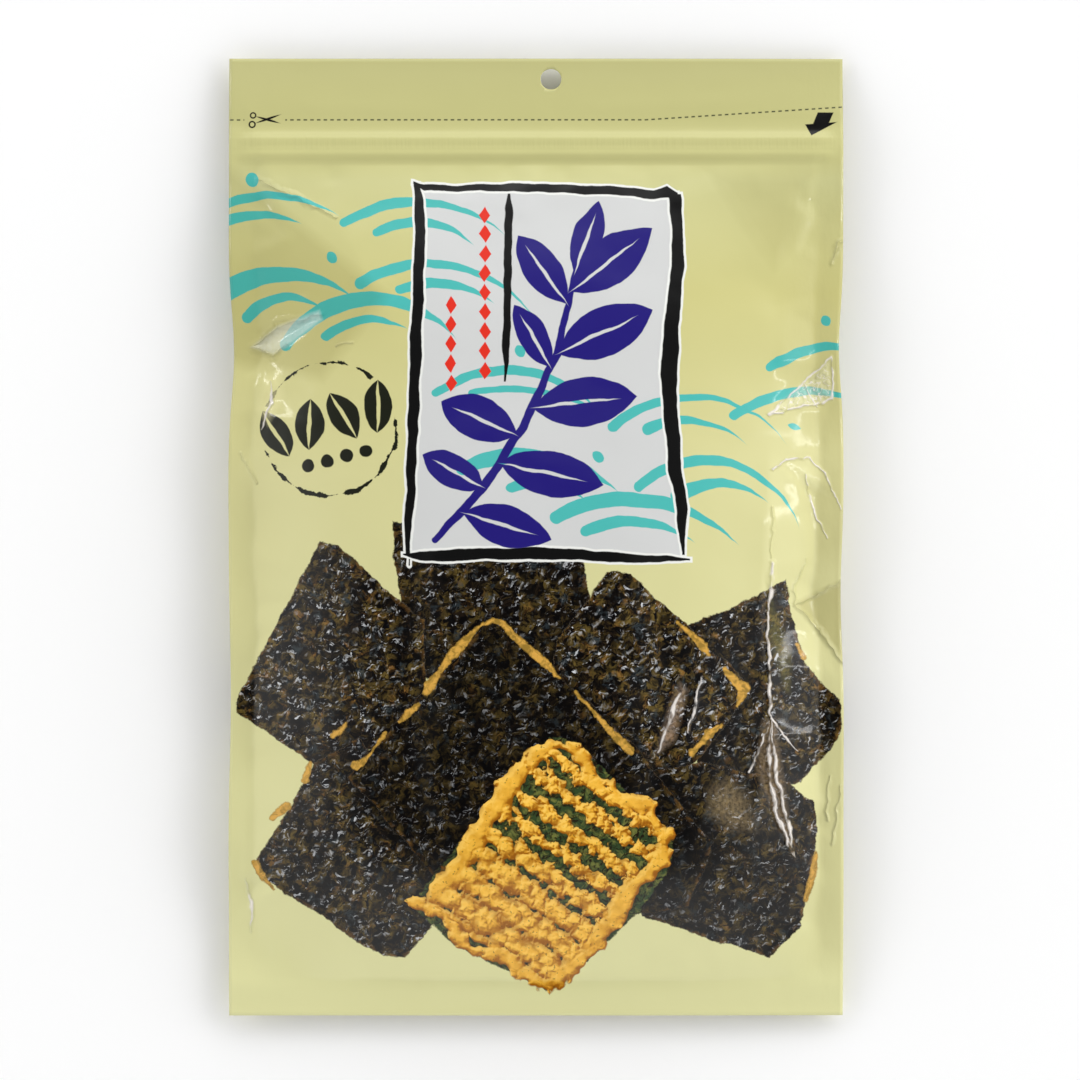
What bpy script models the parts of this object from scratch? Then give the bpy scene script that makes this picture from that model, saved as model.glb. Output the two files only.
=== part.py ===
"""A sealed zip pouch of printed film, full of light crackers, lying on its back.

The pouch lies with its front up. Its length runs along Y with the hang hole at
+Y, its width along X, and z is 0 where its back rests. Two sheets of film meet
in a flat seal round all four sides; between them the film stands up as a pillow.
"""

import math
from collections import namedtuple

import bmesh
import bpy
from mathutils import Vector

# Outline of the flat pouch, in metres
WIDTH = 0.202
LENGTH = 0.315
SIDE_SEAL = 0.008
BOTTOM_SEAL = 0.012
TOP_SEAL = 0.0147
FILM = 0.0008

# Zip: a band of ribs across the pouch, below the tear line
ZIP_TOP = 0.1337
ZIP_BOTTOM = 0.1232
ZIP_THICK = 0.0022
RIB_HEIGHT = 0.0005
RIBS = 2

# Hang hole in the header
HOLE_RADIUS = 0.0034
HOLE_PLACE = (0.0049, 0.1507)
HOLE_SIDES = 24

# Height of the seam between the two sheets, from the bottom edge to the top edge
SEAM_STATIONS = (
    (-LENGTH / 2, 0.0060),
    (-LENGTH / 2 + BOTTOM_SEAL, 0.0085),
    (-0.095, 0.0125),
    (0.060, 0.0125),
    (ZIP_BOTTOM, 0.0095),
    (LENGTH / 2, 0.0050),
)
CORNER_DROOP = 0.0012
SEAM_WAVE = 0.0011
SEAM_WAVE_LENGTH = 0.062

# Pillow: how far the front stands above the seam, and the back would hang below it
FRONT_RISE = 0.0250
BACK_DEPTH = 0.0200
SIDE_REACH = 0.075
BOTTOM_REACH = 0.062
TOP_REACH = 0.150
ROUNDNESS = 2.1
FIRMNESS = 0.92

# The back lies flat on the surface, and a valley never goes deeper than this into the film
REST_BEND = 0.0015
FOLD_FLOOR = -0.3 * FILM

# Side seals are drawn in a little where the film is pinched
Pinch = namedtuple("Pinch", "side y half_length depth")
PINCHES = (
    Pinch(1, 0.062, 0.018, 0.0016),
    Pinch(1, -0.018, 0.022, 0.0010),
    Pinch(-1, 0.060, 0.020, 0.0018),
    Pinch(-1, -0.050, 0.030, 0.0008),
)

# Folds run from the first end to the second; a depth under 0 is a valley
Fold = namedtuple("Fold", "start end half_width depth")
FRONT_FOLDS = (
    Fold((0.100, 0.056), (0.077, 0.042), 0.0055, -0.0034),
    Fold((0.100, 0.006), (0.078, 0.025), 0.0050, -0.0022),
    Fold((0.101, -0.016), (0.084, -0.013), 0.0075, -0.0034),
    Fold((0.077, 0.028), (0.079, -0.094), 0.0055, 0.0012),
    Fold((0.099, -0.092), (0.086, -0.098), 0.0055, -0.0020),
    Fold((-0.099, 0.062), (-0.083, 0.058), 0.0055, -0.0030),
    Fold((-0.089, 0.054), (-0.094, 0.020), 0.0050, -0.0016),
    Fold((-0.098, 0.118), (-0.056, 0.092), 0.0070, -0.0014),
    Fold((0.062, 0.118), (0.080, 0.092), 0.0070, -0.0014),
    Fold((-0.094, -0.112), (-0.080, -0.104), 0.0060, -0.0020),
    Fold((0.020, -0.140), (0.026, -0.118), 0.0060, -0.0012),
    Fold((-0.052, -0.140), (-0.046, -0.118), 0.0060, -0.0012),
)
BACK_FOLDS = (
    Fold((0.098, 0.050), (0.070, 0.040), 0.0065, 0.0022),
    Fold((0.098, -0.050), (0.074, -0.058), 0.0065, 0.0018),
    Fold((-0.098, 0.030), (-0.072, 0.036), 0.0065, 0.0020),
    Fold((-0.098, -0.072), (-0.074, -0.064), 0.0065, 0.0018),
)

# Mesh: cells across the half width, and along each stretch of the length
SIDE_CELLS = 15
SEAL_CELLS = 2
BODY_CELLS = 34
HEADER_CELLS = 3
CELLS_A_RIB = 3

FILM_COLOR = (0.66, 0.62, 0.30, 1.0)


def clear_scene():
    for obj in list(bpy.data.objects):
        bpy.data.objects.remove(obj, do_unlink=True)


def new_collection(name):
    made = bpy.data.collections.new(name)
    bpy.context.scene.collection.children.link(made)
    return made


def new_material(name, color, roughness, metallic):
    made = bpy.data.materials.new(name)
    made.use_nodes = True
    shader = made.node_tree.nodes["Principled BSDF"]
    shader.inputs["Base Color"].default_value = color
    shader.inputs["Roughness"].default_value = roughness
    shader.inputs["Metallic"].default_value = metallic
    return made


def smooth(t):
    """0 to 1 with a level start and end."""
    t = min(max(t, 0.0), 1.0)
    return t * t * (3 - 2 * t)


def swell(distance, reach):
    """How full the pillow is at this distance in from a seal, from 0 to 1."""
    t = min(max(distance / reach, 0.0), 1.0)
    return (1 - (1 - t) ** ROUNDNESS) ** FIRMNESS


def seam_height(x, y):
    """Height of the seam line between the sheets."""
    for (y0, z0), (y1, z1) in zip(SEAM_STATIONS, SEAM_STATIONS[1:]):
        if y <= y1 or y1 == LENGTH / 2:
            height = z0 + (z1 - z0) * smooth((y - y0) / (y1 - y0))
            break
    side = abs(x) / (WIDTH / 2)
    wave = math.sin(2 * math.pi * y / SEAM_WAVE_LENGTH + math.copysign(1.2, x))
    return height - CORNER_DROOP * side**2 * smooth(abs(y) / (LENGTH / 2)) + SEAM_WAVE * side**4 * wave


def fullness(x, y):
    """0 on the seals, the header and the zip, and 1 where the pillow is fullest."""
    from_side = WIDTH / 2 - SIDE_SEAL - abs(x)
    from_bottom = y + LENGTH / 2 - BOTTOM_SEAL
    from_zip = ZIP_BOTTOM - y
    return swell(from_side, SIDE_REACH) * swell(from_bottom, BOTTOM_REACH) * swell(from_zip, TOP_REACH)


def fold_height(folds, x, y):
    """Sum of the folds at this point, each fading towards its inner end."""
    point = Vector((x, y))
    total = 0.0
    for fold in folds:
        start = Vector(fold.start)
        run = Vector(fold.end) - start
        along = min(max((point - start).dot(run) / run.length_squared, 0.0), 1.0)
        off = (point - start - along * run).length / fold.half_width
        total += fold.depth * math.exp(-off * off) * (1 - 0.6 * along)
    return total


def on_film(x, y):
    """0 at the outer edge of the pouch and 1 from the seals inwards, so folds leave the edge flat."""
    inset = min(WIDTH / 2 - abs(x), LENGTH / 2 - abs(y))
    return smooth(inset / SIDE_SEAL)


def band_half_thickness(y):
    """Half the thickness of the closed film, with the zip and its ribs."""
    if not ZIP_BOTTOM < y < ZIP_TOP:
        return FILM / 2
    across = (y - ZIP_BOTTOM) / (ZIP_TOP - ZIP_BOTTOM)
    rib = math.sin(math.pi * across * RIBS) ** 2
    edge = smooth(min(across, 1 - across) * 2 * RIBS)
    return FILM / 2 + edge * (ZIP_THICK - FILM) / 2 + rib * RIB_HEIGHT


def zip_share(x, y):
    """The zip ends in the side seals."""
    return smooth((WIDTH / 2 - abs(x)) / SIDE_SEAL)


def half_thickness(x, y):
    share = zip_share(x, y)
    return FILM / 2 + share * (band_half_thickness(y) - FILM / 2)


def front_height(x, y):
    rise = FRONT_RISE * fullness(x, y)
    fold = fold_height(FRONT_FOLDS, x, y) * on_film(x, y)
    return seam_height(x, y) + half_thickness(x, y) + max(rise + fold, FOLD_FLOOR)


def settled(height):
    """The film lies flat where it would hang below the surface, and leaves it in a soft bend."""
    if height <= -REST_BEND:
        return 0.0
    if height >= REST_BEND:
        return height
    return (height + REST_BEND) ** 2 / (4 * REST_BEND)


def back_height(x, y):
    depth = BACK_DEPTH * fullness(x, y)
    fold = fold_height(BACK_FOLDS, x, y) * on_film(x, y)
    return settled(seam_height(x, y) - half_thickness(x, y) - max(depth - fold, FOLD_FLOOR))


def drawn_in(x, y):
    """The side edge is pulled inwards at each pinch."""
    pulled = 0.0
    for pinch in PINCHES:
        if pinch.side * x > 0:
            off = (y - pinch.y) / pinch.half_length
            pulled += pinch.depth * math.exp(-off * off)
    return x * (1 - pulled / (WIDTH / 2))


def across_places():
    """Places of the mesh columns, closest together near the side seals."""
    half = [WIDTH / 2 - SIDE_SEAL * i / SEAL_CELLS for i in range(SEAL_CELLS)]
    inner = WIDTH / 2 - SIDE_SEAL
    for i in range(SIDE_CELLS):
        turn = 0.5 * math.pi * (0.25 + 0.75 * i / SIDE_CELLS)
        full = math.cos(0.5 * math.pi * 0.25)
        half.append(inner * (1 - (full - math.cos(turn)) / full))
    return sorted({-x for x in half} | {0.0} | set(half))


def stretch(start, end, cells):
    return [start + (end - start) * i / cells for i in range(cells)]


def eased(start, end, cells):
    """Like stretch, but closer together at both ends."""
    return [start + (end - start) * (0.5 - 0.5 * math.cos(math.pi * i / cells)) for i in range(cells)]


def along_places():
    """Places of the mesh rows, from the bottom edge to the top edge."""
    bottom = -LENGTH / 2
    return (
        stretch(bottom, bottom + BOTTOM_SEAL, SEAL_CELLS)
        + eased(bottom + BOTTOM_SEAL, ZIP_BOTTOM, BODY_CELLS)
        + stretch(ZIP_BOTTOM, ZIP_TOP, 2 * RIBS * CELLS_A_RIB)
        + stretch(ZIP_TOP, LENGTH / 2 - TOP_SEAL, HEADER_CELLS)
        + stretch(LENGTH / 2 - TOP_SEAL, LENGTH / 2, HEADER_CELLS)
        + [LENGTH / 2]
    )


def make_pouch(collection, material):
    """One sheet of cells, doubled into back and front with the edge closed between them."""
    columns = across_places()
    rows = along_places()
    bm = bmesh.new()
    bmesh.ops.create_grid(bm, x_segments=len(columns) - 1, y_segments=len(rows) - 1, size=1.0)
    doubled = bmesh.ops.extrude_face_region(bm, geom=bm.faces[:], use_keep_orig=True)
    front = {item for item in doubled["geom"] if isinstance(item, bmesh.types.BMVert)}
    for vert in bm.verts:
        x = columns[round((vert.co.x + 1) / 2 * (len(columns) - 1))]
        y = rows[round((vert.co.y + 1) / 2 * (len(rows) - 1))]
        height = front_height(x, y) if vert in front else back_height(x, y)
        vert.co = (drawn_in(x, y), y, height)
    bmesh.ops.recalc_face_normals(bm, faces=bm.faces[:])
    bmesh.ops.triangulate(bm, faces=bm.faces[:])
    mesh = bpy.data.meshes.new("pouch")
    bm.to_mesh(mesh)
    bm.free()
    mesh.shade_smooth()
    mesh.materials.append(material)
    pouch = bpy.data.objects.new("pouch", mesh)
    collection.objects.link(pouch)
    return pouch


def make_hole_cutter(collection):
    """A round punch through the header."""
    bm = bmesh.new()
    bmesh.ops.create_cone(
        bm,
        cap_ends=True,
        segments=HOLE_SIDES,
        radius1=HOLE_RADIUS,
        radius2=HOLE_RADIUS,
        depth=20 * FILM,
    )
    mesh = bpy.data.meshes.new("hole_cutter")
    bm.to_mesh(mesh)
    bm.free()
    cutter = bpy.data.objects.new("hole_cutter", mesh)
    cutter.location = (*HOLE_PLACE, seam_height(*HOLE_PLACE))
    cutter.hide_render = True
    cutter.display_type = "WIRE"
    collection.objects.link(cutter)
    return cutter


def main():
    clear_scene()
    parts = new_collection("zip_pouch")
    cutters = new_collection("cutters")
    film = new_material("film", FILM_COLOR, roughness=0.28, metallic=0.0)
    pouch = make_pouch(parts, film)
    punch = pouch.modifiers.new("hang_hole", "BOOLEAN")
    punch.operation = "DIFFERENCE"
    punch.solver = "EXACT"
    punch.object = make_hole_cutter(cutters)


main()
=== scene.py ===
# %% [markdown]
# # A zip pouch of rice crackers, lying on its back
#
# The object is a sealed snack pouch: two sheets of glossy printed film, welded along
# all four sides, with a press-shut zip below the header and a punched hang hole above it.
# The crackers inside only show as the pillow that they make. We look straight down on
# the printed front, as the photograph does.
#
# The lesson has three parts: the film as a mesh, the print as shader maths, and a small
# studio. All lengths are metres unless a name says otherwise; print is laid out in
# millimetres from the middle of the pouch, because that is how a printer would see it.

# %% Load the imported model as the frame
import math

import bmesh
import bpy
import numpy as np
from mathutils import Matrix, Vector


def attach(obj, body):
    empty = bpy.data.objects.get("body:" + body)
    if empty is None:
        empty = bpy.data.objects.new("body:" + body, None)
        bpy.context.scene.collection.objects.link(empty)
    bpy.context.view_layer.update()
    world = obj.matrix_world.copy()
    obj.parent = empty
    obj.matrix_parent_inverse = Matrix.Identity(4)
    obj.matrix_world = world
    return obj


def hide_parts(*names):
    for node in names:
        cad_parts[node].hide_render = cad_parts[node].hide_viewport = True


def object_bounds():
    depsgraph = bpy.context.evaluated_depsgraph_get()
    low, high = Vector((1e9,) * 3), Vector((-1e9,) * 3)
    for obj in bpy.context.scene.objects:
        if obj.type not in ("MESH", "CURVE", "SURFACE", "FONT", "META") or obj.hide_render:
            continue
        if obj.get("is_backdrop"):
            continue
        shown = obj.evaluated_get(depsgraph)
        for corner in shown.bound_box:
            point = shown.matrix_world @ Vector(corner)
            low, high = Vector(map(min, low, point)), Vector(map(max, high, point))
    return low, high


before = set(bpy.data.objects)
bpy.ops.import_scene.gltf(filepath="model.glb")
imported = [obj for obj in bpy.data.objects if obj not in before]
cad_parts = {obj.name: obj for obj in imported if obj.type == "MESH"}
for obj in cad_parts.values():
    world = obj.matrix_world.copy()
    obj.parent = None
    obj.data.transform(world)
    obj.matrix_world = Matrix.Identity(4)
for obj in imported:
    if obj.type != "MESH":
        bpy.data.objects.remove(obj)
cad_low, cad_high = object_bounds()
print("CAD box, mm:", [round(1000 * (b - a), 1) for a, b in zip(cad_low, cad_high)])

# %% [markdown]
# ## The pillow
#
# A filled pouch is a pillow: level with its seals at the rim, and swelling quickly to a
# broad, nearly flat top. Cloth simulation could blow one up, but a film can't stretch,
# and the folds would land anywhere. So the height is written as a formula over the flat
# sheet, the same one that shaped the solid, and the folds that the photograph shows are
# then pressed into it one by one.

# %% Sizes of the flat pouch
WIDTH = cad_high.x - cad_low.x
LENGTH = cad_high.y - cad_low.y
SIDE_SEAL = 0.008
BOTTOM_SEAL = 0.012
TOP_SEAL = 0.0147
FILM = 0.0008
ZIP_TOP = 0.1337
ZIP_BOTTOM = 0.1232
ZIP_THICK = 0.0022
RIB_HEIGHT = 0.0005
RIBS = 2
HOLE_RADIUS = 0.0034
HOLE_PLACE = (0.0049, 0.1507)
print(f"flat pouch {1000 * WIDTH:.0f} x {1000 * LENGTH:.0f} mm")

# %% Height of the seam between the two sheets
SEAM_STATIONS = (
    (-LENGTH / 2, 0.0060),
    (-LENGTH / 2 + BOTTOM_SEAL, 0.0085),
    (-0.095, 0.0125),
    (0.060, 0.0125),
    (ZIP_BOTTOM, 0.0095),
    (LENGTH / 2, 0.0050),
)
CORNER_DROOP = 0.0012
SEAM_WAVE = 0.0011
SEAM_WAVE_LENGTH = 0.062


def smooth(t):
    """0 to 1 with a level start and end, for arrays."""
    t = np.clip(t, 0.0, 1.0)
    return t * t * (3 - 2 * t)


def seam_height(x, y):
    height = np.full_like(y, SEAM_STATIONS[0][1])
    for (y0, z0), (y1, z1) in zip(SEAM_STATIONS, SEAM_STATIONS[1:]):
        height += (z1 - z0) * smooth((y - y0) / (y1 - y0))
    side = np.abs(x) / (WIDTH / 2)
    wave = np.sin(2 * math.pi * y / SEAM_WAVE_LENGTH + np.copysign(1.2, x))
    return height - CORNER_DROOP * side**2 * smooth(np.abs(y) / (LENGTH / 2)) + SEAM_WAVE * side**4 * wave


# %% Fullness of the pillow
FRONT_RISE = 0.0250
BACK_DEPTH = 0.0200
SIDE_REACH = 0.075
BOTTOM_REACH = 0.062
TOP_REACH = 0.150
ROUNDNESS = 2.1
FIRMNESS = 0.92


def swell(distance, reach):
    t = np.clip(distance / reach, 0.0, 1.0)
    return (1 - (1 - t) ** ROUNDNESS) ** FIRMNESS


def fullness(x, y):
    from_side = WIDTH / 2 - SIDE_SEAL - np.abs(x)
    from_bottom = y + LENGTH / 2 - BOTTOM_SEAL
    from_zip = ZIP_BOTTOM - y
    return swell(from_side, SIDE_REACH) * swell(from_bottom, BOTTOM_REACH) * swell(from_zip, TOP_REACH)


middle = fullness(np.array([0.0]), np.array([0.0]))[0]
print(f"fullness in the middle of the front: {middle:.2f}")

# %% [markdown]
# ## Folds in the film
#
# Film doesn't stretch, so where a pillow forces it to take up length it makes two kinds
# of mark. A crease is a straight ridge or valley with flat flanks, widest in the middle.
# A pinch is a wedge that opens towards the seal, with a sharp point inside the pouch.
# Both are written as small height functions, so each fold of the photograph is one line
# with its ends, its width and its depth. A height under 0 is a valley.

# %% Crease and pinch
SOFTNESS = 0.0009  # radius that keeps a crest from being sharper than the mesh can show
FADE = 0.25


def along_and_off(x, y, start, end):
    """How far a point is along a fold, from 0 to 1, and its distance to either side, in metres."""
    dx, dy = end[0] - start[0], end[1] - start[1]
    length = math.hypot(dx, dy)
    along = ((x - start[0]) * dx + (y - start[1]) * dy) / length**2
    off = ((y - start[1]) * dx - (x - start[0]) * dy) / length
    return along, off


def soft_abs(value):
    return np.sqrt(value * value + SOFTNESS * SOFTNESS) - SOFTNESS


def crease(x, y, start, end, half_width, height):
    along, off = along_and_off(x, y, start, end)
    fade = smooth(along / FADE) * smooth((1 - along) / FADE)
    return height * fade * np.exp(-soft_abs(off) / half_width)


def pinch(x, y, point, mouth, half_mouth, height):
    along, off = along_and_off(x, y, point, mouth)
    half = np.maximum(half_mouth * along, 1e-6)
    flank = np.clip(1 - soft_abs(off) / half, 0.0, 1.0)
    return height * np.clip(along, 0.0, 1.3) * flank


# %% The folds of the front
CREASES = {
    "right shoulder, top": ((0.077, 0.034), (0.0745, -0.026), 0.006, 0.0011),
    "right shoulder, middle": ((0.0747, -0.010), (0.0765, -0.078), 0.006, 0.0013),
    "right shoulder, foot": ((0.0760, -0.058), (0.0850, -0.112), 0.005, 0.0012),
    "right shoulder, fan": ((0.0765, -0.062), (0.0700, -0.100), 0.004, 0.0006),
    "above the pinch": ((0.0560, 0.124), (0.0790, 0.088), 0.009, 0.0008),
    "towards the zip": ((0.0770, 0.080), (0.0850, 0.122), 0.008, 0.0007),
    "left shoulder": ((-0.0960, 0.122), (-0.0600, 0.099), 0.010, 0.0010),
    "left shoulder, low": ((-0.0660, 0.104), (-0.0450, 0.068), 0.010, 0.0009),
    "left fold": ((-0.0890, 0.060), (-0.0955, 0.012), 0.004, 0.0014),
    "left edge, middle": ((-0.0900, 0.020), (-0.0930, -0.050), 0.005, -0.0007),
    "left edge, foot": ((-0.0945, -0.070), (-0.0950, -0.138), 0.004, 0.0009),
    "glint by the crackers": ((0.0530, -0.048), (0.0440, -0.072), 0.004, 0.0005),
    "second glint": ((0.0450, -0.046), (0.0390, -0.070), 0.004, 0.0004),
    "foot, left": ((-0.0600, -0.146), (-0.0380, -0.128), 0.006, -0.0006),
    "foot, middle": ((-0.0440, -0.142), (0.0020, -0.141), 0.004, 0.0005),
    "foot, right": ((0.0300, -0.144), (0.0520, -0.126), 0.006, -0.0006),
    "right edge, foot": ((0.0880, -0.088), (0.0900, -0.134), 0.005, -0.0009),
    "header, left": ((-0.0900, 0.1425), (-0.0300, 0.1400), 0.003, 0.0003),
    "header, right": ((0.0100, 0.1412), (0.0800, 0.1440), 0.003, 0.0003),
}
PINCHES = {
    "right pinch": ((0.0765, 0.042), (0.0985, 0.053), 0.0085, -0.0024),
    "under the right pinch": ((0.0790, 0.026), (0.1000, 0.006), 0.0050, -0.0018),
    "right facet": ((0.0850, 0.024), (0.0940, 0.002), 0.0050, -0.0014),
    "right dent": ((0.0845, -0.0135), (0.1005, -0.020), 0.0170, -0.0042),
    "right foot": ((0.0860, -0.096), (0.1000, -0.090), 0.0070, -0.0020),
    "left pinch": ((-0.0700, 0.073), (-0.0985, 0.060), 0.0070, -0.0024),
    "left dent": ((-0.0850, 0.048), (-0.0985, 0.030), 0.0080, -0.0020),
    "left waist": ((-0.0840, -0.030), (-0.0985, -0.036), 0.0090, -0.0016),
    "left foot": ((-0.0800, -0.108), (-0.0985, -0.118), 0.0060, -0.0022),
    "zip, left": ((-0.0820, 0.098), (-0.0960, 0.118), 0.0070, -0.0014),
    "zip, right": ((0.0860, 0.092), (0.0960, 0.112), 0.0060, -0.0012),
}


def front_folds(x, y):
    total = np.zeros_like(x)
    for fold in CREASES.values():
        total += crease(x, y, *fold)
    for fold in PINCHES.values():
        total += pinch(x, y, *fold)
    return total


print(len(CREASES), "creases and", len(PINCHES), "pinches")

# %% [markdown]
# ## Small puckers along the seals
#
# Between the named folds, the film puckers a little everywhere it leaves a seal, more so
# on the sides than at the ends. These are too many to place by hand, so a seeded random
# draw sets them: each is a short crease that starts on the seal and runs inwards at a
# slant. The same helper serves the front and the back with different seeds.

# %% Random puckers
PUCKERS_A_SIDE = 26
PUCKER_LENGTH = (0.008, 0.024)
PUCKER_WIDTH = (0.0022, 0.0045)
PUCKER_HEIGHT = (0.00015, 0.00060)
PUCKER_SLANT = 0.6
PUCKER_SHIFT = (-0.004, 0.004)
SIDE_ROW = (-0.138, 0.120)
END_ROW = (-0.085, 0.085)
PUCKERS_AN_END = 15
END_SLANT = (-0.4, 0.4)
END_SHARE = 0.6
SINES_IN_SWAY = 7


def puckers(x, y, seed):
    draw = np.random.default_rng(seed)
    total = np.zeros_like(x)
    for side in (-1, 1):
        inner = side * (WIDTH / 2 - 0.6 * SIDE_SEAL)
        for place in np.linspace(*SIDE_ROW, PUCKERS_A_SIDE):
            start = (inner, place + draw.uniform(*PUCKER_SHIFT))
            length = draw.uniform(*PUCKER_LENGTH)
            slant = draw.uniform(-PUCKER_SLANT, PUCKER_SLANT)
            end = (inner - side * length * math.cos(slant), start[1] + length * math.sin(slant))
            height = draw.uniform(*PUCKER_HEIGHT) * draw.choice((-1.0, 1.0))
            total += crease(x, y, start, end, draw.uniform(*PUCKER_WIDTH), height)
    for place in np.linspace(*END_ROW, PUCKERS_AN_END):
        for foot, up in ((-LENGTH / 2 + 0.8 * BOTTOM_SEAL, 1), (ZIP_BOTTOM, -1)):
            start = (place + draw.uniform(*PUCKER_SHIFT), foot)
            length = draw.uniform(*PUCKER_LENGTH)
            end = (start[0] + length * draw.uniform(*END_SLANT), foot + up * length)
            height = END_SHARE * draw.uniform(*PUCKER_HEIGHT) * draw.choice((-1.0, 1.0))
            total += crease(x, y, start, end, draw.uniform(*PUCKER_WIDTH), height)
    return total


def sway(x, y, size, seed):
    """A slow random wave over the sheet, from a few crossing sines."""
    draw = np.random.default_rng(seed)
    total = np.zeros_like(x)
    for _ in range(SINES_IN_SWAY):
        turn = draw.uniform(0, math.pi)
        wave = 2 * math.pi / (size * draw.uniform(0.7, 1.6))
        total += np.sin(wave * (x * math.cos(turn) + y * math.sin(turn)) + draw.uniform(0, 6.3))
    return total / SINES_IN_SWAY


# %% Heights of both sheets
FOLD_FLOOR = -0.3 * FILM
REST_BEND = 0.0015
FRONT_SWAY = 0.00035
FRONT_WAVE = 0.035
BACK_SWAY = 0.00060
BACK_WAVE = 0.05


def on_film(x, y):
    """0 at the outer edge and 1 from the seals inwards, so that folds leave the edge flat."""
    inset = np.minimum(WIDTH / 2 - np.abs(x), LENGTH / 2 - np.abs(y))
    return smooth(inset / SIDE_SEAL)


def half_thickness(x, y):
    across = np.clip((y - ZIP_BOTTOM) / (ZIP_TOP - ZIP_BOTTOM), 0.0, 1.0)
    rib = np.sin(math.pi * across * RIBS) ** 2
    edge = smooth(np.minimum(across, 1 - across) * 2 * RIBS)
    band = edge * (ZIP_THICK - FILM) / 2 + rib * RIB_HEIGHT
    return FILM / 2 + band * smooth((WIDTH / 2 - np.abs(x)) / SIDE_SEAL)


def front_height(x, y):
    full = fullness(x, y)
    swaying = FRONT_SWAY * sway(x, y, FRONT_WAVE, seed=5) * smooth(full * 3)
    relief = front_folds(x, y) + puckers(x, y, seed=3) + swaying
    rise = np.maximum(FRONT_RISE * full + relief * on_film(x, y), FOLD_FLOOR)
    return seam_height(x, y) + half_thickness(x, y) + rise


def settled(height):
    """Flat where the film would hang below the surface, leaving it in a soft bend."""
    bend = (height + REST_BEND) ** 2 / (4 * REST_BEND)
    return np.where(height <= -REST_BEND, 0.0, np.where(height >= REST_BEND, height, bend))


def back_height(x, y):
    relief = puckers(x, y, seed=8) + BACK_SWAY * sway(x, y, BACK_WAVE, seed=9)
    depth = np.maximum(BACK_DEPTH * fullness(x, y) - relief * on_film(x, y), FOLD_FLOOR)
    return settled(seam_height(x, y) - half_thickness(x, y) - depth)


# %% The side seals are drawn in where the film is pinched
DRAWN_IN = (
    (1, 0.062, 0.018, 0.0016),
    (1, -0.018, 0.022, 0.0010),
    (-1, 0.060, 0.020, 0.0018),
    (-1, -0.050, 0.030, 0.0008),
)


def drawn_in(x, y):
    pulled = np.zeros_like(x)
    for side, place, half_length, depth in DRAWN_IN:
        pulled += depth * np.exp(-(((y - place) / half_length) ** 2)) * (side * x > 0)
    return x * (1 - pulled / (WIDTH / 2))


# %% [markdown]
# ## One sheet, doubled
#
# The mesh starts as a single grid of cells, which is doubled by extruding the whole
# region: that gives a front, a back and the thin edge between them in one closed skin.
# Every point is then lifted by the formulas above. The grid is fine enough that a fold
# is geometry and not only shading, and the hang hole is cut with a Boolean.

# %% Make the pouch
CELLS_ACROSS = 164
CELLS_ALONG = 256


def rounded_hole(center, radius, depth):
    bm = bmesh.new()
    bmesh.ops.create_cone(bm, cap_ends=True, segments=48, radius1=radius, radius2=radius, depth=depth)
    bmesh.ops.translate(bm, verts=bm.verts, vec=center)
    mesh = bpy.data.meshes.new("punch")
    bm.to_mesh(mesh)
    bm.free()
    return bpy.data.objects.new("punch", mesh)


def pouch_mesh():
    bm = bmesh.new()
    bmesh.ops.create_grid(bm, x_segments=CELLS_ACROSS, y_segments=CELLS_ALONG, size=1.0)
    doubled = bmesh.ops.extrude_face_region(bm, geom=bm.faces[:], use_keep_orig=True)
    is_front = np.zeros(len(bm.verts), bool)
    bm.verts.index_update()
    for item in doubled["geom"]:
        if isinstance(item, bmesh.types.BMVert):
            is_front[item.index] = True
    flat = np.array([vert.co for vert in bm.verts])
    x, y = flat[:, 0] * WIDTH / 2, flat[:, 1] * LENGTH / 2
    z = np.where(is_front, front_height(x, y), back_height(x, y))
    for vert, place in zip(bm.verts, zip(drawn_in(x, y), y, z)):
        vert.co = place
    bmesh.ops.recalc_face_normals(bm, faces=bm.faces[:])
    for face in bm.faces:
        face.smooth = True
        face.material_index = 0 if all(is_front[v.index] for v in face.verts) else 1
    mesh = bpy.data.meshes.new("pouch_film")
    bm.to_mesh(mesh)
    bm.free()
    return mesh


pouch = bpy.data.objects.new("pouch_film", pouch_mesh())
bpy.context.scene.collection.objects.link(pouch)
hole_height = float(seam_height(np.array([HOLE_PLACE[0]]), np.array([HOLE_PLACE[1]]))[0])
punch = rounded_hole((*HOLE_PLACE, hole_height), HOLE_RADIUS, 0.02)
bpy.context.scene.collection.objects.link(punch)
cut = pouch.modifiers.new("hang_hole", "BOOLEAN")
cut.operation, cut.solver, cut.object = "DIFFERENCE", "EXACT", punch
graph = bpy.context.evaluated_depsgraph_get()
cut_mesh = bpy.data.meshes.new_from_object(pouch.evaluated_get(graph))
pouch.modifiers.clear()
pouch.data = cut_mesh
bpy.data.objects.remove(punch)
cut_mesh.name = "pouch_film"
top = max(vertex.co.z for vertex in cut_mesh.vertices)
print("pouch:", len(cut_mesh.polygons), "faces, top at", round(1000 * top, 1), "mm")

# %% [markdown]
# ## Shader maths as expressions
#
# The print is made of signed distances: for each shape, a number that is under zero
# inside it. Written as nodes by hand that would be hundreds of boxes, so a small class
# wraps one socket and turns Python's operators into Math nodes. Everything that isn't a
# number goes through one method of the sheet that holds the nodes.

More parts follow.
